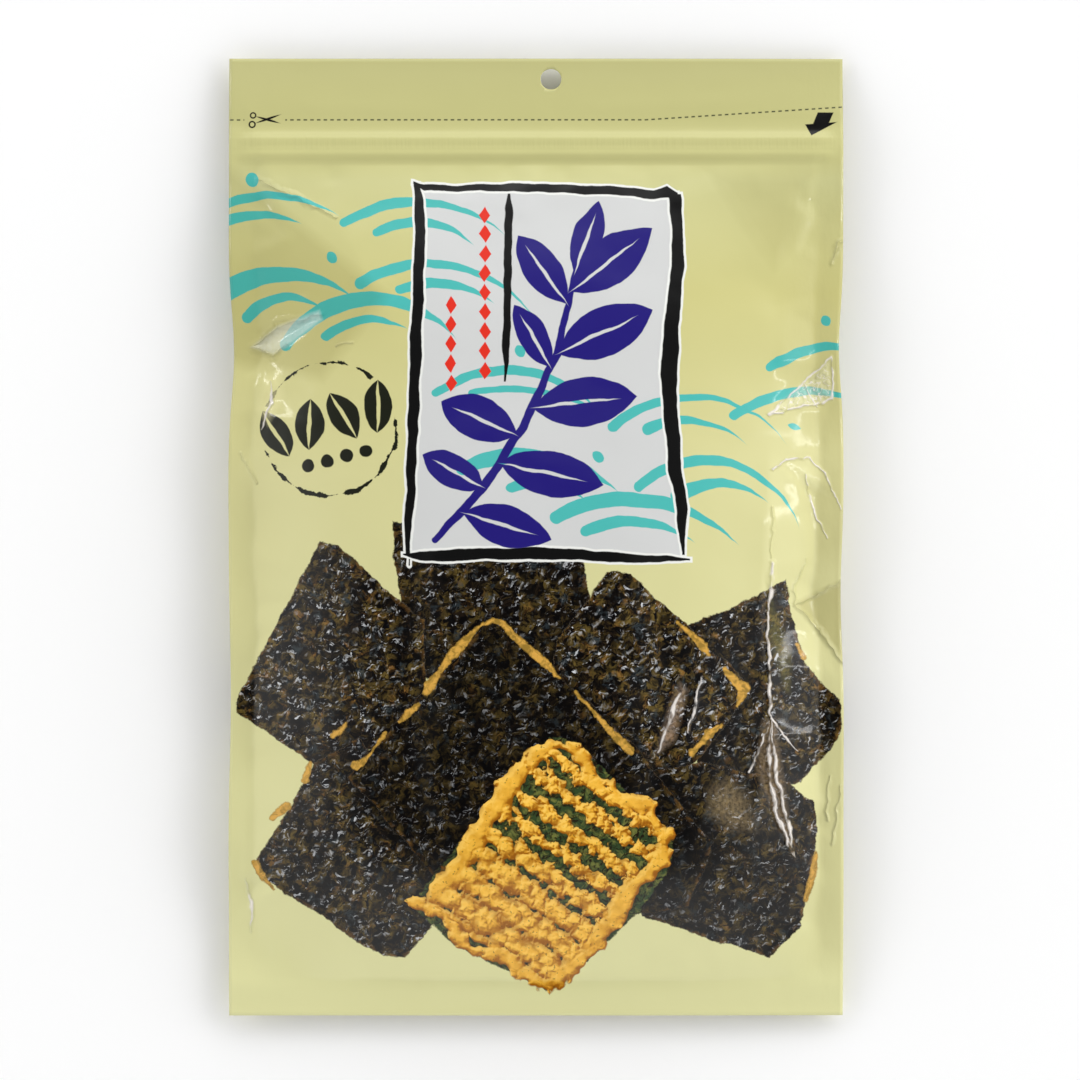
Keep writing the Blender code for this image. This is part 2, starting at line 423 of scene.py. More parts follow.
# %% A wrapped socket
class Wire:
    """One output socket, with the arithmetic of a number."""

    def __init__(self, sheet, socket):
        self.sheet = sheet
        self.socket = socket

    def __add__(self, other):
        return self.sheet.maths("ADD", self, other)

    __radd__ = __add__

    def __sub__(self, other):
        return self.sheet.maths("SUBTRACT", self, other)

    def __rsub__(self, other):
        return self.sheet.maths("SUBTRACT", other, self)

    def __mul__(self, other):
        return self.sheet.maths("MULTIPLY", self, other)

    __rmul__ = __mul__

    def __truediv__(self, other):
        return self.sheet.maths("DIVIDE", self, other)

    def __neg__(self):
        return self.sheet.maths("MULTIPLY", self, -1)

    def __abs__(self):
        return self.sheet.maths("ABSOLUTE", self)


# %% The sheet that holds the nodes
class Sheet:
    """The nodes of one material or of the world, with the shader at their end."""

    def __init__(self, owner, shader="Principled BSDF"):
        self.owner = owner
        owner.use_nodes = True
        self.tree = owner.node_tree
        self.shader = self.tree.nodes[shader]

    def feed(self, socket, value):
        if isinstance(value, Wire):
            self.tree.links.new(value.socket, socket)
        elif socket.type != "VALUE" or socket.default_value != value:
            socket.default_value = value

    def node(self, kind, settings=None, sockets=None, out=0):
        made = self.tree.nodes.new(kind)
        for name, value in (settings or {}).items():
            if name == "stops":
                self.set_stops(made.color_ramp, value)
            elif getattr(made, name) != value:
                setattr(made, name, value)
        for name, value in (sockets or {}).items():
            self.feed(made.inputs[name], value)
        return Wire(self, made.outputs[out])

    def set_stops(self, ramp, stops):
        while len(ramp.elements) < len(stops):
            ramp.elements.new(1.0)
        for element, (place, value) in zip(ramp.elements, stops):
            element.position = place
            element.color = value

    def maths(self, operation, *values, clamp=False):
        settings = {"operation": operation, "use_clamp": clamp}
        return self.node("ShaderNodeMath", settings, dict(enumerate(values)))

    def vector(self, operation, *values, out=0):
        return self.node("ShaderNodeVectorMath", {"operation": operation}, dict(enumerate(values)), out)

    def parts(self, place):
        """The X and Y of a vector as two wires."""
        x = self.node("ShaderNodeSeparateXYZ", {}, {0: place})
        return x, Wire(self, x.socket.node.outputs[1])

    def mix(self, factor, first, second, blend="MIX"):
        settings = {"data_type": "RGBA", "blend_type": blend, "clamp_factor": True}
        return self.node("ShaderNodeMix", settings, {0: factor, 6: first, 7: second}, out=2)

    def noise(self, place, size, detail=2.0, rough=0.5, out=0):
        """A cloudy pattern whose blobs are about this size, in the units of place."""
        sockets = {"Vector": place, "Scale": 1 / size, "Detail": detail, "Roughness": rough}
        return self.node("ShaderNodeTexNoise", {"noise_dimensions": "2D"}, sockets, out)

    def shaken(self, place, size, amount, detail=3.0, rough=0.6):
        """The place, pushed about by up to this amount."""
        push = self.noise(place, size, detail, rough, out=1)
        push = self.vector("MULTIPLY_ADD", push, (2 * amount, 2 * amount, 0), (-amount, -amount, 0))
        return self.vector("ADD", place, push)

    def cells(self, place, size, out=0):
        """Cells round scattered points: the distance to the point, or with out=1 each cell's own colour."""
        settings = {"voronoi_dimensions": "2D", "feature": "F1"}
        return self.node("ShaderNodeTexVoronoi", settings, {"Vector": place, "Scale": 1 / size}, out)

    def smallest(self, wires):
        return self.folded("MINIMUM", wires)

    def largest(self, wires):
        return self.folded("MAXIMUM", wires)

    def folded(self, operation, wires):
        """One wire out of many, joined up as they are made, so that few values wait at once."""
        wires = iter(wires)
        kept = next(wires)
        for wire in wires:
            kept = self.maths(operation, kept, wire)
        return kept

    def ink(self, distance, blur=0.12):
        """1 inside a shape and 0 outside it, from its signed distance in millimetres."""
        return self.maths("MULTIPLY_ADD", distance, -0.5 / blur, 0.5, clamp=True)

    def ramp(self, value, low, high):
        """0 at low and 1 at high, straight between."""
        return self.maths("MULTIPLY_ADD", value, 1 / (high - low), -low / (high - low), clamp=True)


def paint(red, green, blue):
    """A colour as a printer names it, 0 to 255, in the renderer's linear numbers."""
    def linear(value):
        value /= 255
        return value / 12.92 if value <= 0.04045 else ((value + 0.055) / 1.055) ** 2.4

    return (linear(red), linear(green), linear(blue), 1.0)


# %% [markdown]
# ## Tiles
#
# One material with every shape of the front in it would be slow, because a renderer works
# out all its nodes at each point, also those of shapes far away. So the front is cut into
# tiles, as big prints are. Each tile is a material of its own, which holds only the shapes
# that can reach it. All of them read the same coordinates, so no seam shows.

# %% A tile of the print
TILE_MARGIN = 4.0


def sides(corners):
    """For each side of a shape without notches: its outward normal and how far out it lies."""
    pairs = list(zip(corners, corners[1:] + corners[:1]))
    turn = 1 if sum(x0 * y1 - x1 * y0 for (x0, y0), (x1, y1) in pairs) < 0 else -1
    found = []
    for (x0, y0), (x1, y1) in pairs:
        normal = Vector((y0 - y1, x1 - x0)).normalized() * turn
        found.append((normal.x, normal.y, normal.x * x0 + normal.y * y0))
    return found


class Tile(Sheet):
    """The print on one rectangle of the front, in millimetres from the pouch's middle."""

    def __init__(self, name, low, high):
        super().__init__(bpy.data.materials.new(name))
        self.low = low
        self.high = high
        own = self.node("ShaderNodeTexCoord", out="Object")
        self.flat = self.vector("MULTIPLY", own, (1000, 1000, 0))
        self.across, self.along = self.parts(self.flat)
        self.brushed = self.shaken(self.flat, 9.0, 0.75, detail=3, rough=0.42)
        self.brushed_across, self.brushed_along = self.parts(self.brushed)
        self.sea_ink = None
        self.seaweed = None

    def meets(self, corners, margin=TILE_MARGIN):
        """Whether the inside of a shape without notches can reach the tile."""
        if not self.holds(corners, margin):
            return False
        rectangle = [(x, y) for x in (self.low[0], self.high[0]) for y in (self.low[1], self.high[1])]
        return all(
            min(nx * x + ny * y for x, y in rectangle) < offset + margin
            for nx, ny, offset in sides(corners)
        )

    def holds(self, points, margin=TILE_MARGIN):
        """Whether a shape through these points can reach the tile."""
        return all(
            min(point[axis] for point in points) < self.high[axis] + margin
            and max(point[axis] for point in points) > self.low[axis] - margin
            for axis in (0, 1)
        )


# %% [markdown]
# ## Shapes of ink
#
# A few shapes draw nearly everything on the front. A brush stroke is what lies inside one
# circle and outside another, with a round end where the brush is set down, so it swells
# and runs out to a point as ink does. A leaf is what lies inside two circles. A panel is
# the inside of several straight lines. A rope is a line with round ends, and a bar is a
# long line whose middle and width are read from a ramp, as an uneven brush would leave it.

# %% Round ink shapes
def circle_through(a, b, c):
    """Centre and radius of the circle through three points."""
    (ax, ay), (bx, by), (cx, cy) = a, b, c
    twice = 2 * (ax * (by - cy) + bx * (cy - ay) + cx * (ay - by))
    a2, b2, c2 = ax * ax + ay * ay, bx * bx + by * by, cx * cx + cy * cy
    ux = (a2 * (by - cy) + b2 * (cy - ay) + c2 * (ay - by)) / twice
    uy = (a2 * (cx - bx) + b2 * (ax - cx) + c2 * (bx - ax)) / twice
    return (ux, uy), math.hypot(ax - ux, ay - uy)


def disc(sheet, place, center, radius):
    return sheet.vector("DISTANCE", place, (*center, 0), out=1) - radius


def ring(sheet, place, center, radius, half_width):
    return abs(disc(sheet, place, center, radius)) - half_width


def stroke(sheet, place, start, crown, tip, start_width, crown_width):
    """A brush stroke from its round start over its crown to its pointed tip."""
    middle, _ = circle_through(start, crown, tip)
    start_out = (Vector(start) - Vector(middle)).normalized() * start_width / 2
    crown_out = (Vector(crown) - Vector(middle)).normalized() * crown_width / 2
    outer, outer_radius = circle_through(Vector(start) + start_out, Vector(crown) + crown_out, tip)
    inner, inner_radius = circle_through(Vector(start) - start_out, Vector(crown) - crown_out, tip)
    beyond = inner_radius - sheet.vector("DISTANCE", place, (*inner, 0), out=1)
    inside = sheet.maths("MAXIMUM", disc(sheet, place, outer, outer_radius), beyond)
    inside = sheet.maths("MAXIMUM", inside, line_side(sheet, place, start, Vector(start) - Vector(crown)))
    return sheet.maths("MINIMUM", inside, disc(sheet, place, start, start_width / 2))


def leaf(sheet, place, root, tip, width):
    """A pointed leaf between two points."""
    root, tip = Vector(root), Vector(tip)
    run = tip - root
    across = Vector((-run.y, run.x)).normalized() * width / 2
    halfway = (root + tip) / 2
    one_side = disc(sheet, place, *circle_through(root, halfway + across, tip))
    other_side = disc(sheet, place, *circle_through(root, halfway - across, tip))
    return sheet.maths("MAXIMUM", one_side, other_side)


# %% Straight ink shapes
def line_side(sheet, place, point, normal):
    """Distance beyond the line through a point, on the side that the normal points to."""
    length = math.hypot(*normal)
    nx, ny = normal[0] / length, normal[1] / length
    return sheet.vector("DOT_PRODUCT", place, (nx, ny, 0), out=1) - (nx * point[0] + ny * point[1])


def panel(sheet, place, corners):
    """The inside of a shape with straight sides and no notch, three sides to a vector."""
    across, along = sheet.parts(place)
    lines = sides(corners)
    lines += lines[-1:] * (-len(lines) % 3)
    threes = []
    for first in range(0, len(lines), 3):
        nx, ny, offset = zip(*lines[first : first + 3])
        reached = sheet.vector("MULTIPLY_ADD", across, nx, tuple(-out for out in offset))
        threes.append(sheet.vector("MULTIPLY_ADD", along, ny, reached))
    most = threes[0]
    for three in threes[1:]:
        most = sheet.vector("MAXIMUM", most, three)
    x, y = sheet.parts(most)
    return sheet.largest((x, y, Wire(sheet, x.socket.node.outputs[2])))


def rope(sheet, place, start, end, start_half, end_half):
    """A line with round ends that may grow or taper."""
    dx, dy = end[0] - start[0], end[1] - start[1]
    length2 = dx * dx + dy * dy
    along = sheet.vector("DOT_PRODUCT", place, (dx / length2, dy / length2, 0), out=1)
    along = sheet.maths("SUBTRACT", along, (start[0] * dx + start[1] * dy) / length2, clamp=True)
    reach = sheet.vector("MULTIPLY_ADD", along, (dx, dy, 0), (*start, 0))
    half = sheet.maths("MULTIPLY_ADD", along, end_half - start_half, start_half)
    return sheet.vector("DISTANCE", place, reach, out=1) - half


MOST_HALF_WIDTH = 4.0


def bar(sheet, along, across, stations):
    """A brushed bar: each station is its place along, its middle across and its half width."""
    low, high = stations[0][0], stations[-1][0]
    left = min(middle for _, middle, _ in stations)
    span = max(middle for _, middle, _ in stations) - left + 1e-3
    stops = [
        ((place - low) / (high - low), ((middle - left) / span, half / MOST_HALF_WIDTH, 0, 1))
        for place, middle, half in stations
    ]
    settings = {"stops": stops}
    read = sheet.parts(sheet.node("ShaderNodeValToRGB", settings, {0: sheet.ramp(along, low, high)}))
    middle = sheet.maths("MULTIPLY_ADD", read[0], span, left)
    side = abs(across - middle) - read[1] * MOST_HALF_WIDTH
    return sheet.maths("MAXIMUM", side, abs(along - (low + high) / 2) - (high - low) / 2)


# %% [markdown]
# ## The ground of the print
#
# The film is printed a pale greenish yellow, and painted shade over it makes it a little
# deeper toward the header and lighter at the foot. All the artwork sits on the X and Y of
# the object itself, so the print stays put from any side.
# A brushed edge isn't a clean one: the artwork reads a second set of coordinates that a
# noise has pushed about a little.

# %% Paint the ground and its painted shade, each stop with its place along the pouch
GROUND_AND_SHADE_STOPS = (
    (-150, paint(223, 221, 165)),
    (-60, paint(213, 210, 154)),
    (20, paint(213, 209, 152)),
    (80, paint(202, 197, 132)),
    (117, paint(203, 201, 144)),
    (124, paint(202, 199, 138)),
    (134, paint(202, 199, 139)),
    (138, paint(193, 190, 130)),
    (157, paint(194, 191, 133)),
)


# The ground colour with painted shade: deeper toward the header, lighter at the foot.
def paint_ground_and_shade(tile):
    low, high = GROUND_AND_SHADE_STOPS[0][0], GROUND_AND_SHADE_STOPS[-1][0]
    stops = [((place - low) / (high - low), ink) for place, ink in GROUND_AND_SHADE_STOPS]
    return tile.node("ShaderNodeValToRGB", {"stops": stops}, {0: tile.ramp(tile.along, low, high)})


# These stops hold the ground colour together with its painted shade.
print(len(GROUND_AND_SHADE_STOPS), "stops of ground colour")

# %% [markdown]
# ## Painted shade and sheen on the film
#
# Where the film is slack it lies in broad facets, and their shade is painted here as a
# deeper colour. Where the film bends against the crackers it catches the light, and that
# sheen is painted too, as hazy, pale or grainy patches. Both are laid over the finished
# print, since they belong to the film and its light and not to the ink. Each is a shape
# with straight sides and soft edges.

# %% Painted shade of slack facets: corners, softness of the edge and depth
FACET_PAINTED_SHADE = (0.76, 0.74, 0.66, 1.0)
PAINTED_SHADE_FACETS = (
    (((-104, 124), (-99, 119.9), (-64.1, 102.0), (-47.7, 80.7), (-70, 52), (-104, 58)), 2.4, 0.62),
    (((58.8, 119), (69.8, 101.2), (78.2, 89.6), (85.3, 98.7), (90, 119)), 3.0, 0.45),
    (((85, 98), (84, 60), (90, 36), (104, 30), (104, 112), (92, 110)), 7.0, 0.35),
    (((85, -22), (104, -13), (104, -44)), 1.5, 0.90),
    (((88, 24), (104, 26), (104, -6), (90, -8)), 5.0, 0.35),
    (((80, -100), (90, -138), (104, -142), (104, -60)), 6.0, 0.35),
    (((-104, 46), (-88, 44), (-84, 10), (-90, -18), (-104, -30)), 6.0, 0.10),
)

# %% Painted sheen: corners, softness of the edge, strength, least grain and tone
GRAIN_SIZE = 1.1
FULL_GRAIN = 0.66
COARSE = 0.12
EVEN = -1.2
PAINTED_SHEENS = (
    (
        ((76.5, -17), (84, -15), (83, -38), (89, -54), (82, -50), (76.5, -32)),
        1.6, 0.45, COARSE, paint(132, 124, 58),
    ),
    (
        ((57, -83), (62, -80), (69, -85), (70.5, -95), (64, -95), (57, -90)),
        2.6, 0.36, COARSE, paint(184, 160, 118),
    ),
    (
        ((46, -47), (49, -50), (45, -66), (37, -72), (38, -66), (44, -54)),
        1.2, 0.45, COARSE, paint(182, 156, 132),
    ),
    (
        ((74, -60), (78, -60), (81, -80), (84, -103), (78, -92), (72, -76)),
        1.0, 0.34, COARSE, paint(176, 150, 116),
    ),
    (
        ((-93, 62.4), (-85, 69), (-71, 74), (-70, 71), (-81.7, 62.4), (-86.4, 60)),
        0.7, 0.50, EVEN, paint(222, 226, 216),
    ),
    (((-88, 52), (-84, 54), (-83, 46), (-88, 38), (-91, 42)), 1.6, 0.45, EVEN, paint(236, 230, 172)),
    (((77.5, 41), (96, 57.5), (97, 45.5)), 1.2, 0.30, EVEN, paint(236, 236, 206)),
    (((79, 22), (89, 24), (98, 8), (96, 0), (88, 18)), 1.6, 0.34, EVEN, paint(240, 238, 186)),
)


def patch_of(tile, corners, softness, strength):
    """A mask inside a shape with straight sides, soft at its edge."""
    return tile.ramp(panel(tile, tile.flat, corners), softness, -softness) * strength


def paint_facet_shade_and_sheen(tile, color):
    # Painted shade over the slack facets, then painted sheen over the patches that catch the light.
    for corners, softness, depth in PAINTED_SHADE_FACETS:
        if tile.meets(corners, softness):
            facet = patch_of(tile, corners, softness, depth)
            color = tile.mix(facet, color, FACET_PAINTED_SHADE, blend="MULTIPLY")
    # Painted sheen: pale, hazy or grainy patches of reflected light on the film.
    for corners, softness, strength, least, tone in PAINTED_SHEENS:
        if tile.meets(corners, softness):
            grain = tile.ramp(tile.noise(tile.flat, GRAIN_SIZE, detail=2), least, FULL_GRAIN)
            color = tile.mix(patch_of(tile, corners, softness, strength) * grain, color, tone)
    return color


# The facets hold painted shade, and the patches after them hold painted sheen.
print(len(PAINTED_SHADE_FACETS), "slack facets and", len(PAINTED_SHEENS), "painted_glare_patches")

# %% [markdown]
# ## Waves
#
# Turquoise brush arcs in rows are an old way to paint the sea. Each arc is one stroke
# that starts blunt on the left, swells over its crown and runs out to the right.

# %% Paint the waves
WAVES = (
    ((-112, 103.5), (-86.6, 112.2), (-65.4, 105.4), 3.0, 2.7),
    ((-110, 98.5), (-87.7, 105.7), (-77.1, 102.8), 3.0, 2.2),
    ((-63.2, 102.8), (-37.9, 109.8), (-10.5, 99.3), 3.0, 3.0),
    ((-52.2, 99.9), (-35.4, 102.9), (-20.5, 95.7), 2.8, 3.0),
    ((-57.4, 83.1), (-35.4, 89.4), (-0.5, 71.8), 3.8, 3.1),
    ((-44.4, 80.9), (-35.4, 82.7), (-14.0, 76.5), 3.2, 3.5),
    ((-112, 72.0), (-82.6, 86.2), (-60.0, 78.5), 7.0, 4.9),
    ((-94.8, 72.2), (-83.9, 78.3), (-69.6, 74.7), 3.9, 3.3),
    ((-81.9, 63.4), (-52.2, 77.8), (-26.3, 65.0), 4.5, 4.8),
    ((-69.0, 65.4), (-52.2, 70.9), (-42.0, 68.0), 3.2, 2.2),
    ((-32.8, 46.6), (-10.8, 54.4), (20.0, 41.0), 2.5, 3.3),
    ((-21.2, 46.6), (-9.5, 48.1), (22.6, 39.2), 2.0, 2.3),
    ((25.2, 35.9), (44.0, 45.0), (80.8, 32.1), 3.4, 2.7),
    ((36.5, 35.3), (47.2, 37.9), (68.5, 30.7), 3.8, 2.9),
    ((64.9, 39.5), (84.7, 47.4), (112, 41.0), 3.2, 3.0),
    ((76.9, 55.7), (92.0, 61.8), (115, 60.0), 3.2, 3.0),
    ((-24.0, 22.0), (1.3, 26.2), (26.8, 14.6), 4.0, 4.5),
    ((-8.0, 16.0), (1.3, 17.9), (16.2, 11.7), 3.4, 3.6),
    ((33.6, 16.6), (57.0, 24.9), (85.8, 3.7), 3.4, 3.2),
    ((46.0, 13.0), (57.5, 17.5), (75.6, 11.4), 4.8, 3.6),
    ((6.5, 6.5), (30.4, 12.2), (65.6, -2.3), 4.2, 4.9),
    ((16.2, 2.0), (30.4, 5.1), (51.6, -1.5), 3.6, 3.6),
)
DROPS = (
    ((-95.2, 119.3), (-92.0, 115.6), 4.4),
    ((-68.3, 93.3), (-65.5, 90.0), 3.2),
    ((-6.6, 62.2), (-4.2, 58.8), 3.4),
    ((18.6, 27.4), (22.0, 24.6), 3.6),
    ((82.6, 36.5), (87.0, 35.3), 2.0),
    ((94.0, 72.6), (96.2, 69.4), 3.2),
)
TURQUOISE = paint(78, 184, 178)


def paint_waves(tile, color):
    shapes = [(stroke, wave) for wave in WAVES if tile.holds(wave[:3])]
    shapes += [(leaf, drop) for drop in DROPS if tile.holds(drop[:2])]
    if not shapes:
        return color
    tile.sea_ink = tile.ink(tile.smallest(draw(tile, tile.brushed, *shape) for draw, shape in shapes))
    return tile.mix(tile.sea_ink, color, TURQUOISE)


print(len(WAVES), "waves and", len(DROPS), "drops")

# %% [markdown]
# ## Seaweed squares
#
# The pouch shows what it holds: crackers faced with sheets of toasted seaweed, fanned out
# and overlapping. Each square is a straight-sided outline read through rough coordinates,
# so its edge is torn. They are laid down from back to front. At every step a few numbers
# are carried along: how deep inside the top square a point is, a seed that gives each
# square its own piece of the pattern, how dark it is, and the shade thrown on it.

# %% Outlines of the squares, back to front, each with its lightness
SQUARES = {
    "behind": (0.80, ((-46.8, 4.5), (16, -1.5), (17, -26), (7.8, -56), (-41.8, -45))),
    "left": (
        1.10,
        (
            (-70.5, -1.6), (-64.5, -2.4), (-37.0, -27.0), (-34.0, -62),
            (-70, -75.5), (-99, -57.5), (-99, -55.0),
        ),
    ),
    "far right": (
        0.95,
        ((46, -30.5), (82.4, -14.8), (89.0, -46), (86, -80.5), (53, -84)),
        ((78, -30), (99.6, -54.0), (100.3, -63.0), (97.5, -70), (86, -80.0), (72, -80)),
    ),
    "right": (
        1.0,
        ((23.0, -11.4), (31.0, -11.8), (69.6, -48.5), (70.0, -51.5), (36, -90), (4, -55), (7, -33)),
    ),
    "low right": (
        0.66,
        (
            (38, -76), (53.0, -73.0), (81.4, -80.2), (90.8, -87.6),
            (93.2, -95.8), (86.3, -128), (76.5, -138.0), (34, -124),
        ),
    ),
    "low left": (
        0.85,
        (
            (-58.0, -66.0), (-72.0, -73.5), (-92.8, -107.6), (-91.5, -110.4),
            (-50, -137.4), (-43.6, -138.0), (-31.4, -123), (-21, -102),
        ),
    ),
    "middle": (
        0.42,
        ((-15.4, -27.2), (-11.8, -27.2), (33, -69.2), (58, -100), (50, -121), (-18, -129), (-61.4, -77.6)),
    ),
}
SQUARE_MARGIN = 7.0
SEED_STEP = 47.0
SHADE_REACH = 4.5
SHADE_DEPTH = 0.8


def lay_squares(tile):
    """What the seaweed's paint needs to know, or None where no square reaches."""
    near_squares = []
    for count, (light, *outlines) in enumerate(SQUARES.values()):
        outlines = [corners for corners in outlines if tile.meets(corners, SQUARE_MARGIN)]
        if outlines:
            near_squares.append((light, outlines, count * SEED_STEP))
    if not near_squares:
        return None
    torn = tile.shaken(tile.shaken(tile.flat, 15.0, 1.6, detail=1), 2.4, 0.8, detail=4, rough=0.6)
    cover = deep = seed = dark = shade = tile.node("ShaderNodeValue")
    for light, outlines, own_seed in near_squares:
        edge = tile.smallest(panel(tile, torn, corners) for corners in outlines)
        ink = tile.ink(edge, 0.2)
        shade = tile.maths("MAXIMUM", shade, tile.ramp(edge, SHADE_REACH, 0.0) * SHADE_DEPTH) * (1 - ink)
        deep = deep + ink * (edge - deep)
        seed = seed + ink * (own_seed - seed)
        dark = dark + ink * (light - dark)
        cover = tile.maths("MAXIMUM", cover, ink)
    return {"cover": cover, "deep": deep, "seed": seed, "light": dark, "shade": shade}


print(len(SQUARES), "squares")

# %% [markdown]
# Toasted seaweed is nearly black, with brown and olive where it is thin, amber where the
# cracker shows, and a crinkled shine. The crinkle is drawn as an engraver would: the same
# noise is read at two places a hair apart, and where the second is lower the paper-thin
# fold faces the light. Small cells, each with a number of its own, break that shine into
# flakes. The paints go on as coats, each through a mask, and the lowest is listed first.

# %% Paint the seaweed
SEAWEED_DARK = paint(32, 24, 15)
SEAWEED_OLIVE = paint(106, 88, 42)
SEAWEED_BLACK = paint(6, 5, 5)
SEAWEED_BLUE = paint(58, 68, 72)
AMBER = paint(150, 108, 52)
SHINE = paint(205, 207, 210)
PATCH_SIZE = 7.0
PIT_SIZE = 2.6
BLISTER_SIZE = 3.6
BLUE_SIZE = 5.0
AMBER_SIZE = 4.0
CRINKLE = 2.8
HAIR_APART = (-0.28, 0.46, 0)
CLUSTER_SIZE = 6.0
FLAKE_SIZE = 1.25


def coated(tile, color, coats):
    """A colour with coats laid over it, each a mask and its paint, the lowest first."""
    for mask, coat in coats:
        color = tile.mix(mask, color, coat)
    return color


def paint_seaweed(tile, color):
    laid = tile.seaweed = lay_squares(tile)
    if not laid:
        return color
    moved = tile.node("ShaderNodeCombineXYZ", {}, {0: laid["seed"], 1: laid["seed"]})
    patch = tile.vector("ADD", tile.flat, moved)
    crumpled = tile.shaken(patch, 6.0, 2.2, detail=2)
    thin = tile.noise(crumpled, PATCH_SIZE, detail=4, rough=0.66)
    pits = laid["pits"] = tile.noise(crumpled, PIT_SIZE, detail=2, rough=0.6)
    blisters = tile.cells(crumpled, BLISTER_SIZE)
    blue = tile.noise(tile.vector("ADD", patch, (13, 71, 0)), BLUE_SIZE, detail=3, rough=0.65)
    amber = tile.noise(tile.vector("ADD", crumpled, (57, 5, 0)), AMBER_SIZE, detail=4, rough=0.66)
    amber_spots = tile.ramp(amber, 0.55, 0.76) * tile.ramp(thin, 0.44, 0.64) * laid["light"]
    high = tile.noise(crumpled, CRINKLE, detail=3, rough=0.62)
    low_side = tile.noise(tile.vector("ADD", crumpled, HAIR_APART), CRINKLE, detail=3, rough=0.62)
    facing = laid["facing"] = high - low_side
    clusters = tile.noise(tile.vector("ADD", patch, (5, 33, 0)), CLUSTER_SIZE, detail=3, rough=0.6)
    flakes = tile.parts(tile.cells(crumpled, FLAKE_SIZE, out=1))[0]
    glint = tile.ramp(facing, 0.02, 0.13) * tile.ramp(flakes, 0.45, 0.90) * tile.ramp(clusters, 0.38, 0.60)
    fringe = tile.ramp(laid["deep"], -1.6, 0.0) * tile.ramp(amber, 0.48, 0.60)
    seaweed = coated(tile, SEAWEED_DARK, (
        (tile.ramp(thin, 0.40, 0.66), SEAWEED_OLIVE),
        (tile.ramp(pits, 0.53, 0.38), SEAWEED_BLACK),
        (tile.ramp(blisters, 0.36, 0.62) * 0.75, SEAWEED_BLACK),
        (tile.ramp(blue, 0.57, 0.70) * 0.6, SEAWEED_BLUE),
        (amber_spots, AMBER),
        (tile.ramp(facing, 0.0, -0.12) * 0.9, SEAWEED_BLACK),
        (glint, SHINE),
        (1 - laid["light"], SEAWEED_BLACK),
        (fringe * 0.35, AMBER),
        (laid["shade"], SEAWEED_BLACK),
    ))
    return tile.mix(laid["cover"], color, seaweed)


print("flakes", FLAKE_SIZE, "mm, pits", PIT_SIZE, "mm, blisters", BLISTER_SIZE, "mm")

# %% [markdown]
# ## Drips of batter
#
# Fried batter has run out along some edges of the squares. Each drip is a chain of ropes
# that swell and thin out from point to point, read through slightly rough coordinates.

# %% Drips of batter along the edges, each point with its half width
BATTER = paint(214, 164, 74)
BATTER_DEEP = paint(150, 118, 48)
DRIPS = (
    (
        (-18.3, -28.8, 0.5), (-14.0, -27.1, 0.9), (-10.7, -28.2, 1.1), (-7.4, -32.0, 1.1),
        (-2.5, -36.4, 1.4), (4.0, -42.0, 1.2), (7.5, -46.0, 0.3),
    ),
    (
        (-18.3, -28.8, 0.5), (-23.8, -34.7, 1.5), (-28.1, -39.1, 1.6), (-31.4, -44.0, 0.7),
        (-34.6, -48.4, 1.9), (-35.7, -50.6, 1.2),
    ),
    ((-37.9, -54.3, 0.5), (-41.2, -57.1, 1.3), (-44.4, -60.3, 0.4)),
    ((-49.3, -64.1, 0.8), (-53.2, -69.6, 0.35), (-56.4, -73.4, 0.8), (-58.6, -74.5, 1.7)),
    ((-61.9, -60.9, 0.4), (-64.1, -63.6, 1.1), (-66.5, -64.7, 0.9)),
    ((-73.9, -73.9, 0.7), (-75.5, -79.4, 1.3)),
    ((-81.6, -88.2, 1.6), (-86.4, -91.9, 1.0)),
    ((-92.2, -107.0, 1.3), (-89.5, -112.0, 1.0), (-86.0, -115.5, 0.3)),
    ((12.9, -50.5, 0.5), (18.0, -56.0, 0.5), (23.6, -62.5, 1.1), (30.7, -69.6, 1.4)),
    ((45.9, -27.7, 0.5), (49.7, -30.8, 0.8), (54.4, -35.6, 1.6), (56.3, -38.4, 0.4)),
    ((61.6, -43.2, 0.9), (65.4, -47.5, 1.4), (67.7, -49.3, 2.2), (66.8, -52.7, 1.2), (65.4, -55.1, 0.4)),
    ((60.6, -61.2, 0.4), (56.3, -64.1, 1.6), (53.5, -67.4, 0.7), (50.7, -70.3, 1.2)),
    ((85.4, -35.1, 0.6), (87.8, -39.4, 0.8)),
    ((91.8, -104.0, 0.8), (91.0, -110.0, 1.3), (88.6, -119.0, 0.9)),
)


def paint_drips(tile, color):
    if not tile.seaweed:
        return color
    links = [ends for drip in DRIPS for ends in zip(drip, drip[1:]) if tile.holds(ends)]
    if not links:
        return color
    lumpy = tile.shaken(tile.flat, 2.2, 0.7, detail=2)
    drips = tile.smallest(
        rope(tile, lumpy, (x0, y0), (x1, y1), half0, half1)
        for (x0, y0, half0), (x1, y1, half1) in links
    )
    body = tile.mix(tile.ramp(tile.seaweed["pits"], 0.36, 0.60), BATTER_DEEP, BATTER)
    body = tile.mix(tile.ramp(drips, -0.5, 0.0) * 0.7, body, BATTER_DEEP)
    return tile.mix(tile.ink(drips, 0.2), color, body)


print(len(DRIPS), "drips")

# %% [markdown]
# ## The battered square
#
# In front lies one cracker with its batter side up: a thick rim of batter, and across it
# wavy ridges, all fried to a bright yellow with dark green seaweed in the gaps. It is
# drawn as a height first, in a frame of its own that lies along the ridges. The rims are
# uneven bars, the ridges repeat at one pitch and run together toward the lower left, and
# knobs and lumps swell them all. The ridges are counted from ten and a half, so that the
# count stays above zero and a ridge's middle falls on a half. The height is read twice, a
# little apart, so that one side of every knob can be painted lit and the other shaded.

